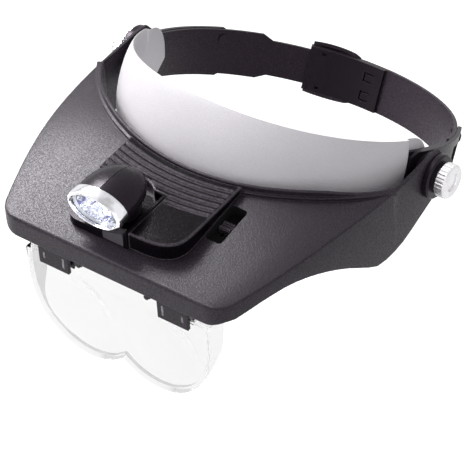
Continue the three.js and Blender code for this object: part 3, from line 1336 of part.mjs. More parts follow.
// A flat contact standing against an end wall of the tray, from one cell to the same or the next.
function contactPlate(way, fromRow, toRow) {
  const x0 = cellX(fromRow) - CELL_RADIUS / 2;
  const x1 = cellX(toRow) + CELL_RADIUS / 2;
  const near = -CELL_SETBACK + way * (TRAY_END - CONTACT_THICKNESS);
  const far = -CELL_SETBACK + way * (TRAY_END - CONTACT_THICKNESS / 2);
  const half = CELL_RADIUS * 0.62;
  return block(x0, x1, Math.min(near, far), Math.max(near, far), CELL_RISE - half, CELL_RISE + half * 0.4);
}

// The small driver board beside the cells, lying on the plate under the ribbed part.
function driverBoard() {
  const rear = -BAY_REAR + BAY_DEPTH + DRIVER_BOARD_DEPTH + 2 * COVER_WALL;
  const front = rear - DRIVER_BOARD_DEPTH;
  const base = plateTop(front) + 2 * SEAT_GAP;
  return block(
    -COVER_LEFT / 2 - DRIVER_BOARD_WIDTH / 2, -COVER_LEFT / 2 + DRIVER_BOARD_WIDTH / 2, front, rear,
    base + SEAT_GAP, base + SEAT_GAP + DRIVER_BOARD_THICKNESS,
  );
}

// The lamp's base

// The deck: a low skin with outer walls, a round well for the turntable and a seat for the block.
function lampBase() {
  const low = PLATE_RISE - CUT_OVERRUN;
  const rear = -BAY_REAR - SEAT_GAP;
  const right = BAY_LEFT - SEAT_GAP;
  const plan = (inset) => {
    const shape = roundedRectangle(
      -DECK_LEFT + inset, DECK_CORNER, -DECK_FRONT + inset, rear + DECK_CORNER, DECK_CORNER - inset,
    );
    const keep = block(-DECK_LEFT, right - inset, -DECK_FRONT, rear - inset, 0, DECK_TOP + CUT_OVERRUN);
    return prism(shape, low, DECK_TOP - (inset > 0 ? DECK_WALL : 0)).intersect(keep);
  };
  const skin = cut(plan(0), plan(DECK_WALL));
  const hub = rod("z", TURNTABLE_RADIUS + DECK_WALL, low, DECK_TOP, LAMP_SEGMENTS);
  const well = join(
    rod(
      "z", TURNTABLE_RADIUS + TURNTABLE_CLEARANCE, DECK_TOP - TURNTABLE_THICKNESS, DECK_TOP + CUT_OVERRUN,
      LAMP_SEGMENTS,
    ),
    rod("z", TURNTABLE_STEM_RADIUS + TURNTABLE_CLEARANCE, 0, DECK_TOP),
  );
  const seat = block(
    -BLOCK_LEFT - SEAT_GAP, BLOCK_RIGHT + SEAT_GAP,
    -DECK_FRONT - CUT_OVERRUN, -DECK_FRONT + BLOCK_DEPTH + SEAT_GAP, 0, COVER_RISE,
  );
  const [hubHere, wellHere] = [hub, well].map((body) => moved(body, -LAMP_OFFSET, -LAMP_SETBACK, 0));
  const atScrews = (body) => basePlaces.map(([x, y]) => moved(body, x, y, 0));
  const screwHoles = atScrews(rod("z", SCREW_RADIUS + SEAT_GAP / 2, 0, DECK_TOP - DECK_WALL));
  const posts = atScrews(rod("z", SCREW_HEAD_RADIUS, low, DECK_TOP - DECK_WALL / 2));
  const shoulderTop = [
    [-SHOULDER_LEFT, low],
    [-SHOULDER_LEFT, DECK_TOP],
    [right - 2 * SHOULDER_EDGE, SHOULDER_RISE - SHOULDER_EDGE],
    [right - SHOULDER_EDGE, SHOULDER_RISE],
    [right, SHOULDER_RISE],
    [right, low],
  ];
  const shoulderShape = new THREE.Shape(shoulderTop.map(([x, z]) => new THREE.Vector2(x, z)));
  const shoulder = frontPrism(shoulderShape, -DECK_FRONT + SEAT_GAP, rear);
  return cut(join(skin, hubHere, shoulder, ...posts), wellHere, seat, plateCut(SEAT_GAP), ...screwHoles);
}

// The block in the base's front wall, undercut at its foot and hollowed under the lamp's bezel.
function lampBlock() {
  const low = PLATE_RISE - CUT_OVERRUN;
  const outline = new THREE.Shape();
  outline.moveTo(-BLOCK_LEFT, low);
  outline.lineTo(BLOCK_RIGHT, low);
  outline.lineTo(BLOCK_RIGHT, BLOCK_RISE - BLOCK_UNDERCUT);
  outline.lineTo(BLOCK_RIGHT - BLOCK_UNDERCUT, BLOCK_RISE);
  const bend = [mix(BLOCK_RIGHT, -BLOCK_LEFT, 0.55), mix(BLOCK_RISE, BLOCK_LOW_RISE, 0.7)];
  outline.quadraticCurveTo(...bend, -BLOCK_LEFT, BLOCK_LOW_RISE);
  const body = frontPrism(outline, -DECK_FRONT + SEAT_GAP, -DECK_FRONT + BLOCK_DEPTH);
  return cut(body, plateCut(BLOCK_UNDERCUT));
}

const basePlaces = [
  [-DECK_LEFT + 2 * SCREW_HEAD_RADIUS, -BAY_REAR - 2 * SCREW_HEAD_RADIUS],
  [-DECK_LEFT + 2 * SCREW_HEAD_RADIUS, -DECK_FRONT + DECK_CORNER],
];

// A pan-head screw from below through the plate into the lamp's base.
function baseScrew([x, y]) {
  const seat = plateTop(y) - VISOR_WALL - SEAT_GAP - SCREW_RADIUS / 2;
  const profile = [
    [0, seat - SCREW_HEAD_RISE],
    [SCREW_HEAD_RADIUS * 0.8, seat - SCREW_HEAD_RISE],
    [SCREW_HEAD_RADIUS, seat - SCREW_HEAD_RISE * 0.6],
    [SCREW_HEAD_RADIUS, seat],
    [SCREW_RADIUS, seat],
    [SCREW_RADIUS, seat + SCREW_LENGTH],
    [0, seat + SCREW_LENGTH],
  ];
  return moved(turned(profile, "z", SMALL_SEGMENTS), x, y, 0);
}

// The switch

const SWITCH_REST_Y = SWITCH_Y + SWITCH_TRAVEL / 2;

function switchThumb() {
  const floor = POCKET_FLOOR + SEAT_GAP;
  const top = floor + SWITCH_THUMB_RISE;
  const half = SWITCH_THUMB_LENGTH / 2;
  const x0 = SWITCH_X - SWITCH_THUMB_WIDTH / 2;
  const profile = [
    [-half, floor],
    [half, floor],
    [half, top - SWITCH_RIDGE],
    [half - SWITCH_RIDGE, top],
    [half - 2 * SWITCH_RIDGE, top],
    [half - 3 * SWITCH_RIDGE, top - SWITCH_RIDGE],
    [-half + 3 * SWITCH_RIDGE, top - SWITCH_RIDGE],
    [-half + 2 * SWITCH_RIDGE, top],
    [-half + SWITCH_RIDGE, top],
    [-half, top - SWITCH_RIDGE],
  ];
  const body = sidePrism(profile, x0, x0 + SWITCH_THUMB_WIDTH);
  const stemHalf = SWITCH_SLOT_WIDTH / 2 - SEAT_GAP;
  const stem = block(
    SWITCH_X - stemHalf, SWITCH_X + stemHalf, -stemHalf, stemHalf,
    POCKET_FLOOR - POCKET_WALL - SEAT_GAP, floor + SEAT_GAP,
  );
  return moved(join(body, stem), 0, SWITCH_REST_Y, 0);
}

// The slide switch's metal case under the pocket's floor.
function switchCase() {
  const top = POCKET_FLOOR - POCKET_WALL - SEAT_GAP;
  const half = SWITCH_CASE_LENGTH / 2;
  const body = block(
    SWITCH_X - SWITCH_CASE_WIDTH / 2, SWITCH_X + SWITCH_CASE_WIDTH / 2, SWITCH_Y - half, SWITCH_Y + half,
    top - SWITCH_CASE_DEPTH, top,
  );
  const well = block(
    SWITCH_X - SWITCH_SLOT_WIDTH / 2, SWITCH_X + SWITCH_SLOT_WIDTH / 2,
    SWITCH_Y - SWITCH_TRAVEL, SWITCH_Y + SWITCH_TRAVEL, top - SEAT_GAP * 3, top + CUT_OVERRUN,
  );
  return cut(body, well);
}

// The lamp, drawn about its own axis: -Y is the beam, and the origin is over the turntable

// A turned body about the beam axis, pressed flat to the lamp's oval section.
const oval = (profile) =>
  facingOut(geometryOf(turned(profile, "y", LAMP_SEGMENTS)).scale(1, 1, lampHeightShare).toNonIndexed());

// Outer radius of the lamp's bullet body at a place along its axis, as a share of its length.
function lampRadius(share) {
  const shoulder = 0.22;
  if (share < shoulder) {
    const swell = Math.sin((share / shoulder) * (Math.PI / 2));
    return mix(LAMP_NECK_RADIUS, LAMP_RADIUS, swell);
  }
  const along = (share - shoulder) / (1 - shoulder);
  return LAMP_RADIUS * Math.sqrt(Math.max(0, 1 - along ** 2));
}

function lampBody() {
  const length = LAMP_FRONT + LAMP_TAIL;
  const station = (share) => Math.sin((share * Math.PI) / 2);
  const outer = steps(11).map((s) => [lampRadius(station(s)), -LAMP_FRONT + length * station(s)]);
  outer[outer.length - 1][0] = 0;
  const innerLength = length - LAMP_WALL;
  const inner = steps(7).map((s) => {
    const radius = lampRadius(station(s)) * (1 - LAMP_WALL / LAMP_RADIUS);
    return [Math.max(0, radius), -LAMP_FRONT + innerLength * station(s)];
  });
  inner[inner.length - 1][0] = 0;
  const mouth = LAMP_NECK_RADIUS - LAMP_WALL;
  const hollow = [[0, -LAMP_FRONT - CUT_OVERRUN], [mouth, -LAMP_FRONT - CUT_OVERRUN], ...inner];
  const ball = oval([[0, -LAMP_FRONT], ...outer]);
  const slot = block(
    -BELLY_SLOT_WIDTH / 2, BELLY_SLOT_WIDTH / 2, -BELLY_SLOT_LENGTH / 2, BELLY_SLOT_LENGTH / 2,
    -LAMP_RADIUS * 2, -TILT_DROP / 2,
  );
  const shell = cut(ball, oval(hollow), slot);
  const cheeks = [-1, 1].map((side) => {
    const from = BELLY_SLOT_WIDTH / 2;
    const cheek = join(
      block(from, from + LAMP_WALL, -TILT_PIN_RADIUS * 3, TILT_PIN_RADIUS * 3, -LAMP_RADIUS, -TILT_DROP),
      moved(rod("x", TILT_PIN_RADIUS * 3, from, from + LAMP_WALL), 0, 0, -TILT_DROP),
    );
    return (side > 0 ? cheek : mirrored(cheek)).intersect(ball);
  });
  const pinHole = moved(
    rod("x", TILT_PIN_RADIUS + TILT_CLEARANCE / 2, -BELLY_SLOT_WIDTH, BELLY_SLOT_WIDTH), 0, 0, -TILT_DROP,
  );
  return cut(join(shell, ...cheeks), pinHole);
}

function lampShell(side) {
  const reach = LAMP_RADIUS + LAMP_TAIL;
  const keep = side > 0
    ? block(PARTING_GAP / 2, reach, -reach, reach, -reach, reach)
    : block(-reach, -PARTING_GAP / 2, -reach, reach, -reach, reach);
  return lampBody().intersect(keep);
}

// The bright bezel, whose lip holds the front lens.
function lampBezel() {
  const rear = -LAMP_FRONT - SEAT_GAP;
  const front = rear - BEZEL_LENGTH;
  const inner = LAMP_NECK_RADIUS - LAMP_WALL - SEAT_GAP;
  const behindLens = front + BEZEL_LIP + FRONT_LENS_THICKNESS + 2 * SEAT_GAP;
  const profile = [
    [inner - REFLECTOR_WALL, rear + BEZEL_OVERLAP],
    [inner, rear + BEZEL_OVERLAP],
    [inner, rear],
    [BEZEL_RADIUS, rear],
    [BEZEL_RADIUS, front + BEZEL_LIP],
    [BEZEL_RADIUS - BEZEL_LIP * 0.4, front + BEZEL_LIP * 0.3],
    [BEZEL_RADIUS - BEZEL_LIP, front],
    [BEZEL_RADIUS - BEZEL_LIP * 1.5, front],
    [BEZEL_RADIUS - BEZEL_LIP * 1.9, front + BEZEL_LIP * 0.5],
    [BEZEL_RADIUS - BEZEL_LIP * 1.9, front + BEZEL_LIP],
    [BEZEL_RADIUS - BEZEL_LIP, front + BEZEL_LIP],
    [BEZEL_RADIUS - BEZEL_LIP, behindLens],
    [inner - REFLECTOR_WALL, behindLens + BEZEL_LIP],
    [inner - REFLECTOR_WALL, rear + BEZEL_OVERLAP],
  ];
  return oval(profile);
}

const LENS_SEAT = -LAMP_FRONT - BEZEL_LENGTH + BEZEL_LIP;

function lampFrontLens() {
  const radius = BEZEL_RADIUS - BEZEL_LIP - SEAT_GAP / lampHeightShare;
  const rear = LENS_SEAT + FRONT_LENS_THICKNESS;
  return oval([[0, LENS_SEAT], [radius, LENS_SEAT], [radius, rear], [0, rear]]);
}

const REFLECTOR_MOUTH = LENS_SEAT + FRONT_LENS_THICKNESS + 2 * SEAT_GAP;

// The reflector: an oval parabolic cup whose mouth faces the front lens.
function lampReflector() {
  const mouth = LAMP_NECK_RADIUS - LAMP_WALL - 3 * SEAT_GAP - 2 * REFLECTOR_WALL;
  const curve = (growth) => steps(5).map((share) => {
    const radius = mix(REFLECTOR_THROAT, mouth - REFLECTOR_WALL, share) + growth;
    return [radius, REFLECTOR_MOUTH + REFLECTOR_DEPTH * (1 - share ** 2)];
  });
  const inner = curve(0);
  const outer = curve(REFLECTOR_WALL).reverse();
  return oval([...inner, ...outer, inner[0]]);
}

function lampLed() {
  const base = REFLECTOR_MOUTH + REFLECTOR_DEPTH + SEAT_GAP;
  const dome = steps(4).map((share) => {
    const angle = (share * Math.PI) / 2;
    return [LED_RADIUS * Math.sin(angle), base - LED_HEIGHT + LED_RADIUS * (1 - Math.cos(angle))];
  });
  const foot = base + LED_BASE_THICKNESS;
  return turned(
    [...dome, [LED_RADIUS, base], [LED_BASE_RADIUS, base], [LED_BASE_RADIUS, foot], [0, foot]],
    "y",
    SMALL_SEGMENTS,
  );
}

function lampBoard() {
  const front = REFLECTOR_MOUTH + REFLECTOR_DEPTH + LED_BASE_THICKNESS + 2 * SEAT_GAP;
  const rear = front + LED_BOARD_THICKNESS;
  const disc = oval([[0, front], [LED_BOARD_RADIUS, front], [LED_BOARD_RADIUS, rear], [0, rear]]);
  const room = block(
    -LED_BOARD_RADIUS, LED_BOARD_RADIUS, front - CUT_OVERRUN, rear + CUT_OVERRUN, -LAMP_RADIUS,
    -TILT_DROP / 2 - SEAT_GAP,
  );
  return cut(disc, room);
}

const TILT_Z = LAMP_AXIS_RISE - TILT_DROP;

// The turntable: a disc sunk in the deck, a stem below it and a tongue up into the lamp's belly.
function lampTurntable() {
  const top = DECK_TOP + TURNTABLE_RISE;
  const disc = rod("z", TURNTABLE_RADIUS, DECK_TOP - TURNTABLE_THICKNESS + SEAT_GAP, top, LAMP_SEGMENTS);
  const foot = plateTop(-LAMP_SETBACK - TURNTABLE_STEM_RADIUS * 1.6) - VISOR_WALL - SEAT_GAP;
  const stem = rod("z", TURNTABLE_STEM_RADIUS, foot - TURNTABLE_THICKNESS, top);
  const stop = rod("z", TURNTABLE_STEM_RADIUS * 1.6, foot - TURNTABLE_THICKNESS, foot);
  const tongue = join(
    block(
      -TONGUE_WIDTH / 2, TONGUE_WIDTH / 2, -TONGUE_LENGTH / 2, TONGUE_LENGTH / 2,
      top - TURNTABLE_THICKNESS / 2, TILT_Z,
    ),
    moved(rod("x", TONGUE_LENGTH / 2, -TONGUE_WIDTH / 2, TONGUE_WIDTH / 2), 0, 0, TILT_Z),
  );
  const pinBore = rod("x", TILT_PIN_RADIUS + TILT_CLEARANCE / 2, -TONGUE_WIDTH, TONGUE_WIDTH);
  const pinHole = moved(pinBore, 0, 0, TILT_Z);
  return cut(join(disc, stem, stop, tongue), pinHole);
}

// The tilt pin, carried by the turntable's tongue.
function tiltPin() {
  const half = BELLY_SLOT_WIDTH / 2 + LAMP_WALL - SEAT_GAP;
  return moved(rod("x", TILT_PIN_RADIUS, -half, half), 0, 0, TILT_Z);
}

// Assembly

const model = new THREE.Group();
const visor = new THREE.Group();
visor.position.set(0, -AXIS_SETBACK, AXIS_RISE);
visor.rotation.x = VISOR_PITCH_DEG * DEG;
model.add(visor);
const swivel = new THREE.Group();
swivel.position.set(-LAMP_OFFSET, -LAMP_SETBACK, 0);
visor.add(swivel);
const lamp = new THREE.Group();
lamp.position.set(0, 0, LAMP_AXIS_RISE);
swivel.add(lamp);

function add(group, name, body, material) {
  const geometry = geometryOf(body);
  geometry.computeVertexNormals();
  const mesh = new THREE.Mesh(geometry, material);
  mesh.name = name;
  group.add(mesh);
}

function addPair(group, name, body, material) {
  add(group, name + "_right", body, material);
  add(group, name + "_left", mirrored(body), material);
}

add(model, "front_band", frontBand(), BLACK_PLASTIC);
add(model, "sweatband", sweatband(), LEATHERETTE);
addPair(model, "side_bracket", sideBracket(), BLACK_PLASTIC);
addPair(model, "pivot_insert", pivotInsert(), BRASS);
addPair(model, "strap_rivet", strapRivet(), BLACK_PLASTIC);
addPair(model, "clamp_knob", knob(), SILVER);
add(model, "strap_right", strapRight(), STRAP_PLASTIC);
add(model, "strap_left", strapLeft(), STRAP_PLASTIC);
add(model, "adjuster_sleeve", adjusterSleeve(), STRAP_PLASTIC);
add(model, "adjuster_hump", adjusterHump(), STRAP_PLASTIC);

add(visor, "visor_shell", visorShell(), GREY_PLASTIC);
addPair(visor, "friction_washer", frictionWasher(), BLACK_PLASTIC);
addPair(visor, "lens_clip", lensClip(), BLACK_PLASTIC);
add(visor, "lens_hook_right", lensHook(1), BLACK_PLASTIC);
add(visor, "lens_hook_left", lensHook(-1), BLACK_PLASTIC);
add(visor, "lens_plate", lensPlate(), CLEAR);
add(visor, "battery_cover", batteryCover(), BLACK_PLASTIC);
add(visor, "lamp_base", lampBase(), BLACK_PLASTIC);
add(visor, "lamp_block", lampBlock(), BLOCK_GREY);
add(visor, "base_screw_rear", baseScrew(basePlaces[0]), SILVER);
add(visor, "base_screw_front", baseScrew(basePlaces[1]), SILVER);
add(visor, "battery_tray", batteryTray(), BLACK_PLASTIC);
add(visor, "cell_left", cell(0), CELL_SLEEVE);
add(visor, "cell_right", cell(1), CELL_SLEEVE);
add(visor, "contact_spring_left", contactSpring(0), SILVER);
add(visor, "contact_spring_right", contactSpring(1), SILVER);
add(visor, "contact_bridge", contactPlate(-1, 0, 1), SILVER);
add(visor, "contact_tab_left", contactPlate(1, 0, 0), SILVER);
add(visor, "contact_tab_right", contactPlate(1, 1, 1), SILVER);
add(visor, "driver_board", driverBoard(), BOARD_GREEN);
add(visor, "switch_thumb", switchThumb(), BLACK_PLASTIC);
add(visor, "switch_case", switchCase(), SILVER);

add(swivel, "lamp_turntable", lampTurntable(), BLACK_PLASTIC);
add(swivel, "lamp_tilt_pin", tiltPin(), SILVER);
add(lamp, "lamp_shell_right", lampShell(1), BLACK_PLASTIC);
add(lamp, "lamp_shell_left", lampShell(-1), BLACK_PLASTIC);
add(lamp, "lamp_bezel", lampBezel(), CHROME);
add(lamp, "lamp_front_lens", lampFrontLens(), CLEAR);
add(lamp, "lamp_reflector", lampReflector(), CHROME);
add(lamp, "lamp_led", lampLed(), LED_CLEAR);
add(lamp, "lamp_board", lampBoard(), BOARD_GREEN);

export default model;
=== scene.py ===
import math

import bpy
import numpy as np
from mathutils import Matrix, Vector


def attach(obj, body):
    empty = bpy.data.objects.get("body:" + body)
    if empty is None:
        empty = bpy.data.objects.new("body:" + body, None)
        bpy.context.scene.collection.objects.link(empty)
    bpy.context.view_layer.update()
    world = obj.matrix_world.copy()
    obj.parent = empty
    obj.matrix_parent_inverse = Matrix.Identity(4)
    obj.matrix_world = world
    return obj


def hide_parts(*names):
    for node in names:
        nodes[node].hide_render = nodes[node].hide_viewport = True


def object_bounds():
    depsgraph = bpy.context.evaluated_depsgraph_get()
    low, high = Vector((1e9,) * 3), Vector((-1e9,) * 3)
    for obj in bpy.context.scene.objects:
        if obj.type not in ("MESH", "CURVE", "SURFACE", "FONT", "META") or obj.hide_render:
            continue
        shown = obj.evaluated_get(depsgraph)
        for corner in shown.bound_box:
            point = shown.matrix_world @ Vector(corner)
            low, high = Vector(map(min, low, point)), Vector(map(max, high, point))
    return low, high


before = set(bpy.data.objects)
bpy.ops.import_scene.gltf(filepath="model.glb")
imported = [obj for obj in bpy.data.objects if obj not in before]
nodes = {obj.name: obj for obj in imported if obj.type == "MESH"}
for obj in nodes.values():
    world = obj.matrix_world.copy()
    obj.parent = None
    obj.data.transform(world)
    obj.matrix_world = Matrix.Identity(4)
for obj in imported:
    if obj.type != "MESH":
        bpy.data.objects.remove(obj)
cad_box = [list(corner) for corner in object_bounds()]
MM = 0.001
scene = bpy.context.scene
scene.view_settings.view_transform = "Standard"


# Camera: the photograph's viewing angle

AZIMUTH, ELEVATION, ROLL = math.radians(28.5), math.radians(19.5), math.radians(14.1)
TARGET_RIGHT, TARGET_UP = -29.19, -65.19  # the picture's centre, in mm from the frame's origin
CAMERA_DISTANCE = 1.8172
FOCAL_LENGTH = 263.8

back = Vector((
    math.sin(AZIMUTH) * math.cos(ELEVATION),
    -math.cos(AZIMUTH) * math.cos(ELEVATION),
    math.sin(ELEVATION),
))
level = Vector((math.cos(AZIMUTH), math.sin(AZIMUTH), 0))
upright = back.cross(level)
right = math.cos(ROLL) * level + math.sin(ROLL) * upright
up = -math.sin(ROLL) * level + math.cos(ROLL) * upright
camera = bpy.data.objects.new("camera", bpy.data.cameras.new("camera"))
scene.collection.objects.link(camera)
camera.data.lens = FOCAL_LENGTH
camera.data.clip_start, camera.data.clip_end = 0.05, 20
place = Matrix((right, up, back)).transposed().to_4x4()
place.translation = (TARGET_RIGHT * right + TARGET_UP * up) * MM + back * CAMERA_DISTANCE
camera.matrix_world = place
scene.camera = camera


# Node helpers

PLATE_SLOPE = math.radians(28.5)  # the visor plate falls this steeply towards its front edge
EDGE_SAMPLES = 4
GRAIN_RANGE, WIDE_RANGE = (0.35, 0.65), (0.3, 0.7)  # where most of a noise texture's values lie


class Tree:
    """A node tree with short calls to add and wire nodes."""

    def __init__(self, tree):
        self.tree = tree

    def feed(self, node, inputs):
        """Wires a socket, or sets a plain value, into each named input."""
        for key, value in inputs.items():
            if isinstance(value, bpy.types.NodeSocket):
                self.tree.links.new(value, node.inputs[key])
            else:
                node.inputs[key].default_value = value

    def add(self, kind, inputs=None, **settings):
        node = self.tree.nodes.new(kind)
        for key, value in settings.items():
            setattr(node, key, value)
        self.feed(node, inputs or {})
        return node

    def math(self, operation, *values):
        return self.add("ShaderNodeMath", dict(enumerate(values)), operation=operation).outputs[0]

    def vector(self, operation, *values):
        node = self.add("ShaderNodeVectorMath", dict(enumerate(values)), operation=operation)
        return node.outputs["Value" if operation in ("LENGTH", "DOT_PRODUCT") else "Vector"]

    def ramp(self, value, low, high, to_low, to_high):
        return self.add("ShaderNodeMapRange", {
            "Value": value, "From Min": low, "From Max": high, "To Min": to_low, "To Max": to_high,
        }).outputs[0]

    def mix(self, factor, a, b, blend="MIX"):
        inputs = {0: factor, 6: a, 7: b}
        return self.add("ShaderNodeMix", inputs, data_type="RGBA", blend_type=blend).outputs[2]

    def speckled(self, tone, speck):
        grey = self.add("ShaderNodeCombineColor", {0: speck, 1: speck, 2: speck}).outputs[0]
        return self.mix(1.0, tone, grey, "MULTIPLY")

    def place(self):
        return self.add("ShaderNodeTexCoord").outputs["Object"]

    def on_plate(self):
        """The place turned so that the visor plate's slope lies level."""
        inputs = {"Vector": self.place(), "Rotation": (-PLATE_SLOPE, 0, 0)}
        return self.add("ShaderNodeMapping", inputs).outputs[0]

    def noise(self, place, scale, detail, **inputs):
        inputs.update(Vector=place, Scale=scale, Detail=detail)
        return self.add("ShaderNodeTexNoise", inputs).outputs[0]

    def soft_edge(self, radius):
        return self.add("ShaderNodeBevel", {"Radius": radius * MM}, samples=EDGE_SAMPLES).outputs[0]

    def bump(self, height, distance, strength, **inputs):
        inputs.update(Height=height, Distance=distance * MM, Strength=strength)
        return self.add("ShaderNodeBump", inputs).outputs[0]

    def seen(self):
        """1 for rays from the camera, from reflections and through clear pieces, else 0."""
        ray = self.add("ShaderNodeLightPath").outputs
        seen = self.math("MAXIMUM", ray["Is Camera Ray"], ray["Is Glossy Ray"])
        return self.math("MAXIMUM", seen, ray["Is Transmission Ray"])


def srgb(*levels):
    linear = (((c / 255 + 0.055) / 1.055) ** 2.4 if c > 10 else c / 3294.6 for c in levels)
    return (*linear, 1)


def scaled(colour, factor, add=(0, 0, 0)):
    return tuple(min(1, c * factor + more) for c, more in zip(colour[:3], add)) + (1,)


def new_material(name):
    material = bpy.data.materials.new(name)
    material.use_nodes = True
    return material, Tree(material.node_tree), material.node_tree.nodes["Principled BSDF"]


# Moulded plastic: fine grain, broad tone changes, faint scuffs, and paler edges that are partly
# wear and partly painted highlight.
# grain, depth and the paler edges' width are mm: the grain's size and depth, and how wide the paler
# edges are.
# edge is how far these go over to their paler tone, and the lift is painted highlight added to that
# tone.
# speckle is the grain's change of tone; shine and hue are the highlights' strength and tint.
TONE_SPREAD = 0.08
SPECK_BRIGHTER, SPECK_POLISH = 1.4, 0.2  # what speckle does to the tone upwards, and to roughness
WEAR_AND_HIGHLIGHT_COSINE = (0.995, 0.9)  # between a face's own normal and its rounded one: no paler edge, fully paler edge (wear and painted highlight)
WEAR_AND_HIGHLIGHT_FACTOR, WEAR_AND_HIGHLIGHT_CAST = 1.9, (1, 0.88, 1.04)
SCUFF_ROUGHNESS = 0.04
SOFT_EDGE, METAL_SOFT_EDGE = 0.45, 0.3


def plastic(
    name, colour, roughness, grain=0.35, depth=0.03, edge=0.35, speckle=0.2, shine=0.22,
    wear_and_highlight_width=0.45, highlight_lift=0.02, hue=(1, 0.86, 1),
):
    material, t, shader = new_material(name)
    place = t.place()
    fine = t.noise(place, scale=1000 / grain, detail=3, Roughness=0.6)
    broad = t.noise(place, scale=28, detail=3)
    scuff = t.noise(place, scale=420, detail=6, Distortion=1.5)
    true_normal = t.add("ShaderNodeNewGeometry").outputs["Normal"]
    turn = t.vector("DOT_PRODUCT", t.soft_edge(wear_and_highlight_width), true_normal)
    # Paler edges: partly wear, partly painted highlight along edges and rib crests
    wear_and_highlight = t.math(
        "MULTIPLY", t.ramp(turn, *WEAR_AND_HIGHLIGHT_COSINE, 0, edge), t.ramp(scuff, *GRAIN_RANGE, 0.5, 1),
    )
    tone = t.mix(broad, scaled(colour, 1 - TONE_SPREAD), scaled(colour, 1 + TONE_SPREAD))
    speck = t.ramp(fine, *GRAIN_RANGE, 1 - speckle, 1 + SPECK_BRIGHTER * speckle)
    tone = t.speckled(tone, speck)
    # The paler edges' tone, with painted highlight added
    bright = scaled(colour, WEAR_AND_HIGHLIGHT_FACTOR, [highlight_lift * cast for cast in WEAR_AND_HIGHLIGHT_CAST])
    polish = SPECK_POLISH * speckle
    rough = t.math(
        "ADD",
        t.ramp(scuff, *WIDE_RANGE, roughness - SCUFF_ROUGHNESS, roughness + SCUFF_ROUGHNESS),
        t.ramp(fine, *GRAIN_RANGE, polish, -polish),
    )
    t.feed(shader, {
        "Base Color": t.mix(wear_and_highlight, tone, bright),
        "Roughness": rough,
        "Specular IOR Level": shine,
        "Specular Tint": (*hue, 1),
        "Normal": t.bump(fine, distance=depth, strength=1.0, Normal=t.soft_edge(SOFT_EDGE)),
    })
    return material


# Metal: brushed or plated, with fine streaks, and darker patches that go down to tarnish times the
# colour: smudges on most metals, painted reflection on the chrome
STREAK_SCALE = (900, 900, 60)
SMUDGE_AND_REFLECTION_RANGE = (0.38, 0.58)


def metal(name, colour, roughness, streak=0.05, metallic=1.0, tarnish_and_reflection=0.9, patches=160):
    material, t, shader = new_material(name)
    place = t.place()
    drawn = t.add("ShaderNodeMapping", {"Vector": place, "Scale": STREAK_SCALE}).outputs[0]
    streaks = t.noise(drawn, scale=4, detail=4)
    smudge_and_reflection = t.ramp(t.noise(place, scale=patches, detail=3), *SMUDGE_AND_REFLECTION_RANGE, 0, 1)
    t.feed(shader, {
        "Base Color": t.mix(smudge_and_reflection, scaled(colour, tarnish_and_reflection), colour),
        "Metallic": metallic,
        "Roughness": t.ramp(
            streaks, *WIDE_RANGE, max(0.02, roughness - streak), roughness + streak,
        ),
        "Normal": t.bump(
            streaks, distance=0.006, strength=0.5, Normal=t.soft_edge(METAL_SOFT_EDGE),
        ),
    })
    return material


# Mirror facets of the cell's size in mm, a few of them in shade
SHADED_FACETS = (0.72, 0.8)  # the draws from which a facet is in shade


def faceted(name, pale, shade, cell):
    material, t, shader = new_material(name)
    cells = t.add("ShaderNodeTexVoronoi", {"Vector": t.place(), "Scale": 1000 / cell}).outputs
    pick = t.add("ShaderNodeSeparateColor", {0: cells["Color"]}).outputs[0]
    t.feed(shader, {
        "Base Color": t.mix(t.ramp(pick, *SHADED_FACETS, 0, 1), pale, shade),
        "Metallic": 1,
        "Roughness": 0.15,
        "Normal": t.bump(cells["Distance"], distance=0.8, strength=0.7),
    })
    return material


# Leatherette: pebbled grain with tiny creases, over a pale silver tone
CREASE_WIDTH = 0.22  # as a share of a pebble
RELIEF_SHARES = (0.6, 0.5, 0.7)  # of the pebbles, the fine grain and the broad swell
LEATHER_DARKER, LEATHER_SPECKS = 0.93, (0.91, 1.05)  # factors on the colour


def leatherette(name, colour):
    material, t, shader = new_material(name)
    place = t.place()
    warp = t.noise(place, scale=500, detail=2)
    fine = t.noise(place, scale=2600, detail=3)
    broad = t.noise(place, scale=22, detail=4)
    cells = t.add(
        "ShaderNodeTexVoronoi", {"Vector": place, "Scale": 1150}, feature="DISTANCE_TO_EDGE",
    )
    pebble = t.ramp(cells.outputs["Distance"], 0.0, CREASE_WIDTH, 0, 1)
    layers = zip((pebble, fine, warp), RELIEF_SHARES)
    pebbles, grain, swell = (t.math("MULTIPLY", layer, share) for layer, share in layers)
    height = t.math("ADD", t.math("ADD", pebbles, grain), swell)
    tone = t.mix(broad, scaled(colour, LEATHER_DARKER), colour)
    t.feed(shader, {
        "Base Color": t.speckled(tone, t.ramp(fine, *WIDE_RANGE, *LEATHER_SPECKS)),
        "Sheen Weight": 0.15,
        "Sheen Roughness": 0.4,
        "Roughness": t.ramp(pebble, 0, 1, 0.55, 0.4),
        "Normal": t.bump(height, distance=0.08, strength=0.75),
    })
    return material


# Clear moulded acrylic, with a faint flow ripple
def clear(name, tint, roughness=0.02, ior=1.49):
    material, t, shader = new_material(name)
    t.feed(shader, {
        "Base Color": tint,
        "Roughness": roughness,
        "IOR": ior,
        "Transmission Weight": 1,
        "Normal": t.bump(
            t.noise(t.place(), scale=60, detail=2), distance=0.03, strength=0.3,
        ),
    })
    return material


# A lit piece, bluer in patches
COLD_GLOW = (0.75, 0.82, 1, 1)


def glowing(name, colour, strength):
    material, t, shader = new_material(name)
    patches = t.noise(t.place(), scale=700, detail=2)
    t.feed(shader, {
        "Base Color": colour,
        "Roughness": 0.2,
        "Emission Color": t.mix(patches, COLD_GLOW, colour),
        "Emission Strength": strength,
    })
    return material
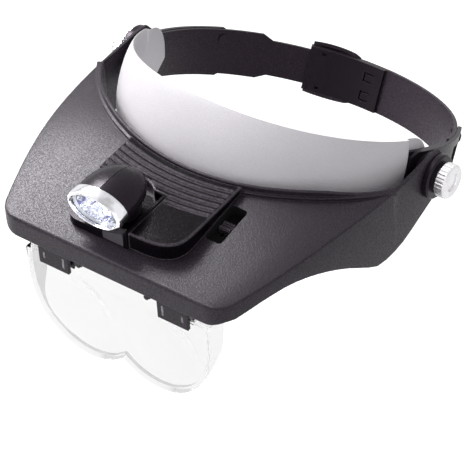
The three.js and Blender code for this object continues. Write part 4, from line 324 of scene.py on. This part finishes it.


# Its pale edge lines along the lip and rims are wear and painted highlight
VISOR = plastic(
    "visor plastic", srgb(44, 38, 46), 0.4, grain=0.9, depth=0.16, edge=0.9, speckle=0.5,
    highlight_lift=0.06, hue=(0.97, 0.93, 1),
)
BLACK = plastic("black plastic", srgb(26, 21, 28), 0.36, grain=0.5, depth=0.012, edge=0.3)
LAMP_BLACK = plastic(
    "lamp plastic", srgb(34, 29, 36), 0.24, grain=0.3, depth=0.01, edge=0.3, shine=0.15,
)
CLIP = plastic(
    "clip plastic", srgb(34, 29, 36), 0.28, grain=0.4, depth=0.01, edge=0.5, shine=0.18,
)
# Its wide pale rib crests and edges are painted highlight
COVER = plastic(
    "cover plastic", srgb(14, 11, 16), 0.16, grain=0.8, depth=0.06, edge=1, speckle=0.45,
    shine=0.09, wear_and_highlight_width=1.6, highlight_lift=0.24,
)
BASE = plastic(
    "base plastic", srgb(16, 12, 18), 0.2, grain=0.8, depth=0.02, edge=0.4, shine=0.12,
)
STRAP = plastic(
    "strap plastic", srgb(28, 20, 29), 0.42, grain=0.9, depth=0.18, edge=0.5, speckle=0.5,
)
# The right strap: the left strap's plastic painted lighter, as painted light on its side that faces
# the light
LIT_STRAP = plastic(
    "painted-lit strap plastic", srgb(42, 34, 43), 0.42, grain=0.9, depth=0.2, edge=0.6, speckle=0.6,
)
SLEEVE = plastic(
    "sleeve plastic", srgb(20, 14, 21), 0.4, grain=0.8, depth=0.08, edge=0.6, speckle=0.35,
    shine=0.18,
)
# The hump: its lighter tone is painted light, for the light on its top
LIT_HUMP = plastic(
    "hump plastic", srgb(54, 47, 55), 0.34, grain=0.6, depth=0.04, edge=0.6, speckle=0.3,
)
# The switch thumb: its lighter tone and pale rim are painted light and painted highlight
LIT_THUMB = plastic(
    "switch plastic", srgb(58, 54, 60), 0.3, grain=0.5, depth=0.012, edge=1, wear_and_highlight_width=0.7, highlight_lift=0.25,
)
# The block: its light grey is painted light on a face that lies in shade under the bezel
LIT_BLOCK = plastic("block plastic", srgb(96, 92, 98), 0.5, grain=0.4, depth=0.02, edge=0.5)
BOARD = plastic("board laminate", srgb(47, 90, 58), 0.5, grain=0.3, depth=0.01, edge=0.1)
SILVER = metal("silver metal", srgb(232, 230, 233), 0.3, metallic=0.9)
# The chrome's strong darker patches are painted reflection of darker surroundings
CHROME = metal("chrome", srgb(236, 236, 240), 0.12, streak=0.03, tarnish_and_reflection=0.62, patches=110)
BRASS = metal("brass", srgb(214, 176, 104), 0.28)
CELL = metal("cell sleeve", srgb(150, 153, 160), 0.35)
REFLECTOR = faceted("reflector", srgb(240, 241, 247), srgb(78, 70, 146), 2.8)
LEATHER = leatherette("leatherette", srgb(241, 237, 243))
LENS = clear("lens acrylic", srgb(220, 220, 220), ior=1.12)
FRONT_LENS = clear("lamp window", srgb(246, 248, 252), roughness=0.05)
GLOW = glowing("lamp glow", srgb(226, 228, 255), 22.0)


# The switch pocket, a rounded box in the plate's own slope, gets painted shade: darker and duller
# than the plate
POCKET_CENTRE, POCKET_HALF, POCKET_CORNER = (38.0, -108.9), (5.0, 12.2), 2.0
POCKET_FADE = (0.05, 0.25)
POCKET_SHADE_COLOUR, POCKET_ROUGHNESS = srgb(12, 10, 13), 0.85


def paint_pocket_shade(material):
    t = Tree(material.node_tree)
    shader = material.node_tree.nodes["Principled BSDF"]
    centre = tuple(c * MM for c in POCKET_CENTRE)
    inner = tuple((h - POCKET_CORNER) * MM for h in POCKET_HALF)
    away = t.vector("SUBTRACT", t.on_plate(), (*centre, 0))
    away = t.vector("ABSOLUTE", t.vector("MULTIPLY", away, (1, 1, 0)))
    away = t.vector("MAXIMUM", t.vector("SUBTRACT", away, (*inner, 0)), (0, 0, 0))
    fade = ((POCKET_CORNER + f) * MM for f in POCKET_FADE)
    inside = t.ramp(t.vector("LENGTH", away), *fade, 1, 0)
    tone, rough = (shader.inputs[n].links[0].from_socket for n in ("Base Color", "Roughness"))
    # Painted shade inside the pocket: a dark colour and a dull finish
    t.feed(shader, {
        "Base Color": t.mix(inside, tone, POCKET_SHADE_COLOUR),
        "Roughness": t.math("MAXIMUM", rough, t.math("MULTIPLY", inside, POCKET_ROUGHNESS)),
    })


# The clips' small windows, boxes in the same slope, have painted light on their walls: a pale
# colour for the light that shows through them
WINDOWS = (  # centre and half size in mm, on both sides of the middle
    ((31.25, 155.8, 0), (0.75, 0.85, 3.75)),
    ((43.45, 155.8, 0), (0.75, 0.85, 2.3)),
)
WINDOW_LIGHT_COLOUR = srgb(238, 238, 242)


def paint_window_light(material):
    t = Tree(material.node_tree)
    shader = material.node_tree.nodes["Principled BSDF"]
    mirrored = t.vector("ABSOLUTE", t.on_plate())
    for centre, half in WINDOWS:
        away = t.vector("SUBTRACT", mirrored, tuple(c * MM for c in centre))
        away = t.vector("SUBTRACT", t.vector("ABSOLUTE", away), tuple(h * MM for h in half))
        x, y, z = t.add("ShaderNodeSeparateXYZ", {0: away}).outputs
        inside = t.math("LESS_THAN", t.math("MAXIMUM", t.math("MAXIMUM", x, y), z), 0.0)
        tone = shader.inputs["Base Color"].links[0].from_socket
        # Painted light on the window's walls
        t.feed(shader, {"Base Color": t.mix(inside, tone, WINDOW_LIGHT_COLOUR)})


paint_pocket_shade(VISOR)
paint_window_light(CLIP)

MATERIAL_OF = {
    "front_band": BLACK, "sweatband": LEATHER,
    "side_bracket_right": BLACK, "side_bracket_left": BLACK,
    "pivot_insert_right": BRASS, "pivot_insert_left": BRASS,
    "strap_rivet_right": BLACK, "strap_rivet_left": BLACK,
    "strap_right": LIT_STRAP, "strap_left": STRAP,
    "adjuster_sleeve": SLEEVE, "adjuster_hump": LIT_HUMP,
    "clamp_knob_right": SILVER, "clamp_knob_left": SILVER,
    "friction_washer_right": BLACK, "friction_washer_left": BLACK,
    "visor_shell": VISOR, "lens_plate": LENS,
    "lens_clip_right": CLIP, "lens_clip_left": CLIP,
    "lens_hook_right": BLACK, "lens_hook_left": BLACK,
    "battery_cover": COVER, "battery_tray": BLACK, "cell_left": CELL, "cell_right": CELL,
    "contact_spring_left": SILVER, "contact_spring_right": SILVER,
    "contact_bridge": SILVER, "contact_tab_left": SILVER, "contact_tab_right": SILVER,
    "driver_board": BOARD, "switch_thumb": LIT_THUMB, "switch_case": CELL,
    "lamp_base": BASE, "lamp_block": LIT_BLOCK, "base_screw_rear": SILVER, "base_screw_front": SILVER,
    "lamp_turntable": LAMP_BLACK, "lamp_tilt_pin": SILVER,
    "lamp_shell_right": LAMP_BLACK, "lamp_shell_left": LAMP_BLACK, "lamp_bezel": CHROME,
    "lamp_front_lens": FRONT_LENS, "lamp_reflector": REFLECTOR,
    "lamp_led": GLOW, "lamp_board": BOARD,
}


# Smooth shading for the CAD nodes: coincident corners merged, edges kept sharp above an angle
SHARP_ABOVE = {"visor_shell": 26, "battery_cover": 18, "lamp_base": 18}
SHARP_ABOVE_ELSE = 32
MERGE_DISTANCE = 0.004


def shading_group():
    group = bpy.data.node_groups.new("smooth by angle", "GeometryNodeTree")
    for name, way, kind in (
        ("Geometry", "INPUT", "NodeSocketGeometry"),
        ("Angle", "INPUT", "NodeSocketFloat"),
        ("Geometry", "OUTPUT", "NodeSocketGeometry"),
    ):
        group.interface.new_socket(name, in_out=way, socket_type=kind)
    t = Tree(group)
    geometry, limit = t.add("NodeGroupInput").outputs[:2]
    angle = t.add("GeometryNodeInputMeshEdgeAngle").outputs[0]
    sharp = t.add(
        "FunctionNodeCompare", {0: angle, 1: limit}, data_type="FLOAT", operation="GREATER_THAN",
    )
    merged = t.add(
        "GeometryNodeMergeByDistance", {"Geometry": geometry, "Distance": MERGE_DISTANCE * MM},
    )
    bare = t.add(
        "GeometryNodeRemoveAttribute", {"Geometry": merged.outputs[0], "Name": "custom_normal"},
    )
    faces = t.add(
        "GeometryNodeSetShadeSmooth", {"Geometry": bare.outputs[0], "Shade Smooth": True},
        domain="FACE",
    )
    edges = t.add("GeometryNodeSetShadeSmooth", {
        "Geometry": faces.outputs[0], "Selection": sharp.outputs[0], "Shade Smooth": False,
    }, domain="EDGE")
    t.add("NodeGroupOutput", {0: edges.outputs[0]})
    return group


shading = shading_group()
angle_key = next(s for s in shading.interface.items_tree if s.name == "Angle").identifier
for name, obj in nodes.items():
    obj.data.materials.clear()
    obj.data.materials.append(MATERIAL_OF[name])
    modifier = obj.modifiers.new("smooth", "NODES")
    modifier.node_group = shading
    modifier[angle_key] = math.radians(SHARP_ABOVE.get(name, SHARP_ABOVE_ELSE))


# The sweatband: a padded leatherette sleeve on the ring, swollen by a cloth simulation.
# Lengths in mm. Angles in degrees run along the ring's front half, from -180 at the left to 0.

RING_HALF_WIDTH, RING_HALF_DEPTH = 89.2, 91.2
FRONT_POWER = 2.2  # the front half is a superellipse, the rear half an ellipse
PAD_RISE, PAD_DROP, PAD_THICKNESS = 19.6, 19.0, 6.7
PAD_END_DEG, PAD_END_RADIUS = 0.2, 16
FACING_DEG = 13.66  # from here the pad's outer face gives way to the lining ends
FACING_EDGE, FACING_ROUND = 0.9, 1.3  # how deep and how long the outer face's end is rounded
LINING_INSET = 4.4
CROWN = 2.4  # how much thinner each half of the pad is along its upper and lower edges
LINING_CROWN = CROWN / 3
EDGE_POWER, LEAST_BULGE = 8, 0.1  # the edges' rounding, and what is left there of the crown
ROUND_STEPS, LINING_STEPS, SPAN_STEPS, HEIGHT_STEPS = 8, 3, 96, 14
CLOSE_STEPS = (-0.02, 0.1, 0.35, 0.8)  # around the place where the outer face ends
SPAN_START = 1.6
LEAST_SQUEEZE = 0.05
SWELL, FREE_SHARE = 0.9, 0.9  # the most it swells, and how free the middle of the faces is
SWELL_MARGIN, SWELL_FADE = 1.2, 3.0  # from the pad's long edges
SETTLE_FRAMES = 20

degrees_per_mm = 1 / (RING_HALF_DEPTH * math.pi / 180)
first, last = -180 - PAD_END_DEG, PAD_END_DEG
facing_first, facing_last = -180 + FACING_DEG, -FACING_DEG


def ring_point(angle, inset, z):
    c, s = math.cos(math.radians(angle)), math.sin(math.radians(angle))
    power = FRONT_POWER if s < 0 else 2
    across, along = (math.copysign(abs(v) ** (2 / power), v) for v in (c, s))
    slope_x, slope_y = (math.copysign(abs(v) ** (power - 1), v) for v in (across, along))
    normal = Vector((slope_x / RING_HALF_WIDTH, slope_y / RING_HALF_DEPTH)).normalized()
    x = RING_HALF_WIDTH * across - normal.x * inset
    y = RING_HALF_DEPTH * along - normal.y * inset
    return Vector((x, y, z)) * MM


def mesh_object(name, points, faces, material):
    mesh = bpy.data.meshes.new(name)
    mesh.from_pydata([tuple(p) for p in points], [], faces)
    mesh.validate()
    obj = bpy.data.objects.new(name, mesh)
    scene.collection.objects.link(obj)
    mesh.materials.append(material)
    mesh.polygons.foreach_set("use_smooth", [True] * len(mesh.polygons))
    return obj


def pad_stations():
    """The angles of the pad's sections."""
    stations = []
    for side, end, facing in ((-1, first, facing_first), (1, last, facing_last)):
        rounding = side * PAD_END_RADIUS * degrees_per_mm
        near = end - rounding
        turns = [k * math.pi / 2 / ROUND_STEPS for k in range(ROUND_STEPS)]
        stations += [end - rounding * (1 - math.cos(turn)) for turn in turns]
        stations += [near + (facing - near) * k / LINING_STEPS for k in range(LINING_STEPS)]
        stations += [facing - side * step for step in CLOSE_STEPS]
    stations += list(np.linspace(facing_first + SPAN_START, facing_last - SPAN_START, SPAN_STEPS))
    return sorted({round(s, 4) for s in stations})


def pad_section(angle):
    """The pad's outline at this angle, as pairs of inset and height."""
    end_share = min(1, min(angle - first, last - angle) / degrees_per_mm / PAD_END_RADIUS)
    squeeze = max(math.sqrt(max(0, 1 - (1 - end_share) ** 2)), LEAST_SQUEEZE)
    low, high = -PAD_DROP * squeeze, PAD_RISE * squeeze
    inside = min(angle - facing_first, facing_last - angle) / degrees_per_mm
    if inside < 0:
        outer, crown = LINING_INSET, LINING_CROWN
    else:
        outer, crown = FACING_EDGE * (1 - min(1, inside / FACING_ROUND)) ** 2, CROWN
    middle, half = (outer + PAD_THICKNESS) / 2, (PAD_THICKNESS - outer) / 2
    section = []
    for k in range(HEIGHT_STEPS + 1):
        share = 0.5 - 0.5 * math.cos(math.pi * k / HEIGHT_STEPS)
        edge = abs(2 * share - 1)
        bulge = (half - crown * edge ** 2) * (1 - edge ** EDGE_POWER) ** 0.5
        bulge = max(bulge, LEAST_BULGE * crown)
        section.append((bulge, low + (high - low) * share))
    outside = [(middle - bulge, z) for bulge, z in section]
    return outside + [(middle + bulge, z) for bulge, z in reversed(section[1:-1])]


def pad_mesh():
    stations = pad_stations()
    points = [ring_point(a, inset, z) for a in stations for inset, z in pad_section(a)]
    count = 2 * HEIGHT_STEPS
    faces = []
    for start in range(0, len(points) - count, count):
        for j in range(count):
            a, b = start + j, start + (j + 1) % count
            faces.append((a + count, b + count, b, a))
    faces += [tuple(range(count)), tuple(reversed(range(len(points) - count, len(points))))]
    return points, faces


points, faces = pad_mesh()
pad = mesh_object("padded_sweatband", points, faces, LEATHER)
rest = np.array([tuple(p) for p in points])

# The sleeve's own line keeps its edges and ends: only the faces between them swell
height = rest[:, 2] / MM
edge_share = np.clip((PAD_RISE - np.abs(height) - SWELL_MARGIN) / SWELL_FADE, 0, 1)
pin = pad.vertex_groups.new(name="pin")
for index, share in enumerate(edge_share):
    pin.add([index], float(1 - FREE_SHARE * share), "REPLACE")
cloth = pad.modifiers.new("cloth", "CLOTH")
for setting, value in (
    ("quality", 6), ("mass", 0.2), ("tension_stiffness", 40), ("compression_stiffness", 40),
    ("bending_stiffness", 2), ("use_pressure", True), ("uniform_pressure_force", 4),
    ("vertex_group_mass", "pin"), ("pin_stiffness", 1.5),
):
    setattr(cloth.settings, setting, value)
cloth.settings.effector_weights.gravity = 0
cloth.collision_settings.use_collision = False
scene.frame_start, scene.frame_end = 1, SETTLE_FRAMES
for step in range(1, SETTLE_FRAMES + 1):
    scene.frame_set(step)
swollen = pad.evaluated_get(bpy.context.evaluated_depsgraph_get())
shift = np.array([tuple(v.co) for v in swollen.data.vertices]) - rest
pad.modifiers.remove(cloth)
scene.frame_set(1)
length = np.linalg.norm(shift, axis=1, keepdims=True)
shift *= np.minimum(1, SWELL * MM / np.maximum(length, 1e-9))
pad.data.vertices.foreach_set("co", (rest + shift).astype(np.float32).ravel())
pad.data.update()
detail = pad.modifiers.new("subdivision", "SUBSURF")
detail.levels = detail.render_levels = 1
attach(pad, "head_ring")
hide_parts("sweatband")


# Floor and world: white to the camera, to reflections and through clear pieces, at an even level.
# The floor is one-sided, so that the object can be looked at from below.

FLOOR_ROOM = 35 * MM  # the drawn-out lens plate hangs this much lower with the visor down
FLOOR_HALF = 6.0
FLOOR_GLOW, FLOOR_GREY = 0.72, (0.8, 0.8, 0.8, 1)
WORLD_LIGHT = 0.36
WHITE = (1, 1, 1, 1)

floor_z = cad_box[0][2] - FLOOR_ROOM
corners = [
    (x * FLOOR_HALF, y * FLOOR_HALF, floor_z) for x, y in ((-1, -1), (1, -1), (1, 1), (-1, 1))
]
floor_material, t, floor_shader = new_material("floor")
floor = mesh_object("floor", corners, [(0, 1, 2, 3)], floor_material)
t.feed(floor_shader, {"Base Color": FLOOR_GREY, "Roughness": 0.9, "Specular IOR Level": 0.0})
strength = t.math("MULTIPLY", t.seen(), FLOOR_GLOW)
glow = t.add("ShaderNodeEmission", {"Color": WHITE, "Strength": strength}).outputs[0]
both = t.add("ShaderNodeAddShader", {0: floor_shader.outputs[0], 1: glow}).outputs[0]
one_sided = t.add("ShaderNodeMixShader", {
    0: t.add("ShaderNodeNewGeometry").outputs["Backfacing"],
    1: both,
    2: t.add("ShaderNodeBsdfTransparent").outputs[0],
}).outputs[0]
t.feed(floor_material.node_tree.nodes["Material Output"], {"Surface": one_sided})

world = bpy.data.worlds.new("world")
scene.world = world
world.use_nodes = True
t = Tree(world.node_tree)
strength = t.ramp(t.seen(), 0, 1, WORLD_LIGHT, 1.0)
t.feed(world.node_tree.nodes["Background"], {"Color": WHITE, "Strength": strength})


# Lights, in metres and watts: each stands in its direction from the aim, and faces it

def softbox(name, direction, distance, width, height, power, aim=(0, -0.06, -0.02)):
    light = bpy.data.lights.new(name, "AREA")
    light.shape = "RECTANGLE"
    light.size, light.size_y = width, height
    light.energy = power
    obj = bpy.data.objects.new(name, light)
    scene.collection.objects.link(obj)
    towards = Vector(direction).normalized()
    obj.location = Vector(aim) + towards * distance
    obj.rotation_mode = "QUATERNION"
    obj.rotation_quaternion = towards.to_track_quat("Z", "Y")
    return obj


softbox("key", (-0.85, -0.5, 0.5), distance=1.4, width=1.0, height=0.8, power=16.8)
softbox("fill", (0.75, -0.75, 0.25), distance=1.6, width=1.2, height=0.8, power=2.6)

# A small panel near the visor's left side, seen in reflections only
gloss = softbox(
    "gloss", (-0.53, -0.1, 0.84), distance=0.36, width=0.15, height=0.17, power=3.5,
    aim=(-0.077, -0.116, -0.04),
)
gloss.visible_diffuse = False
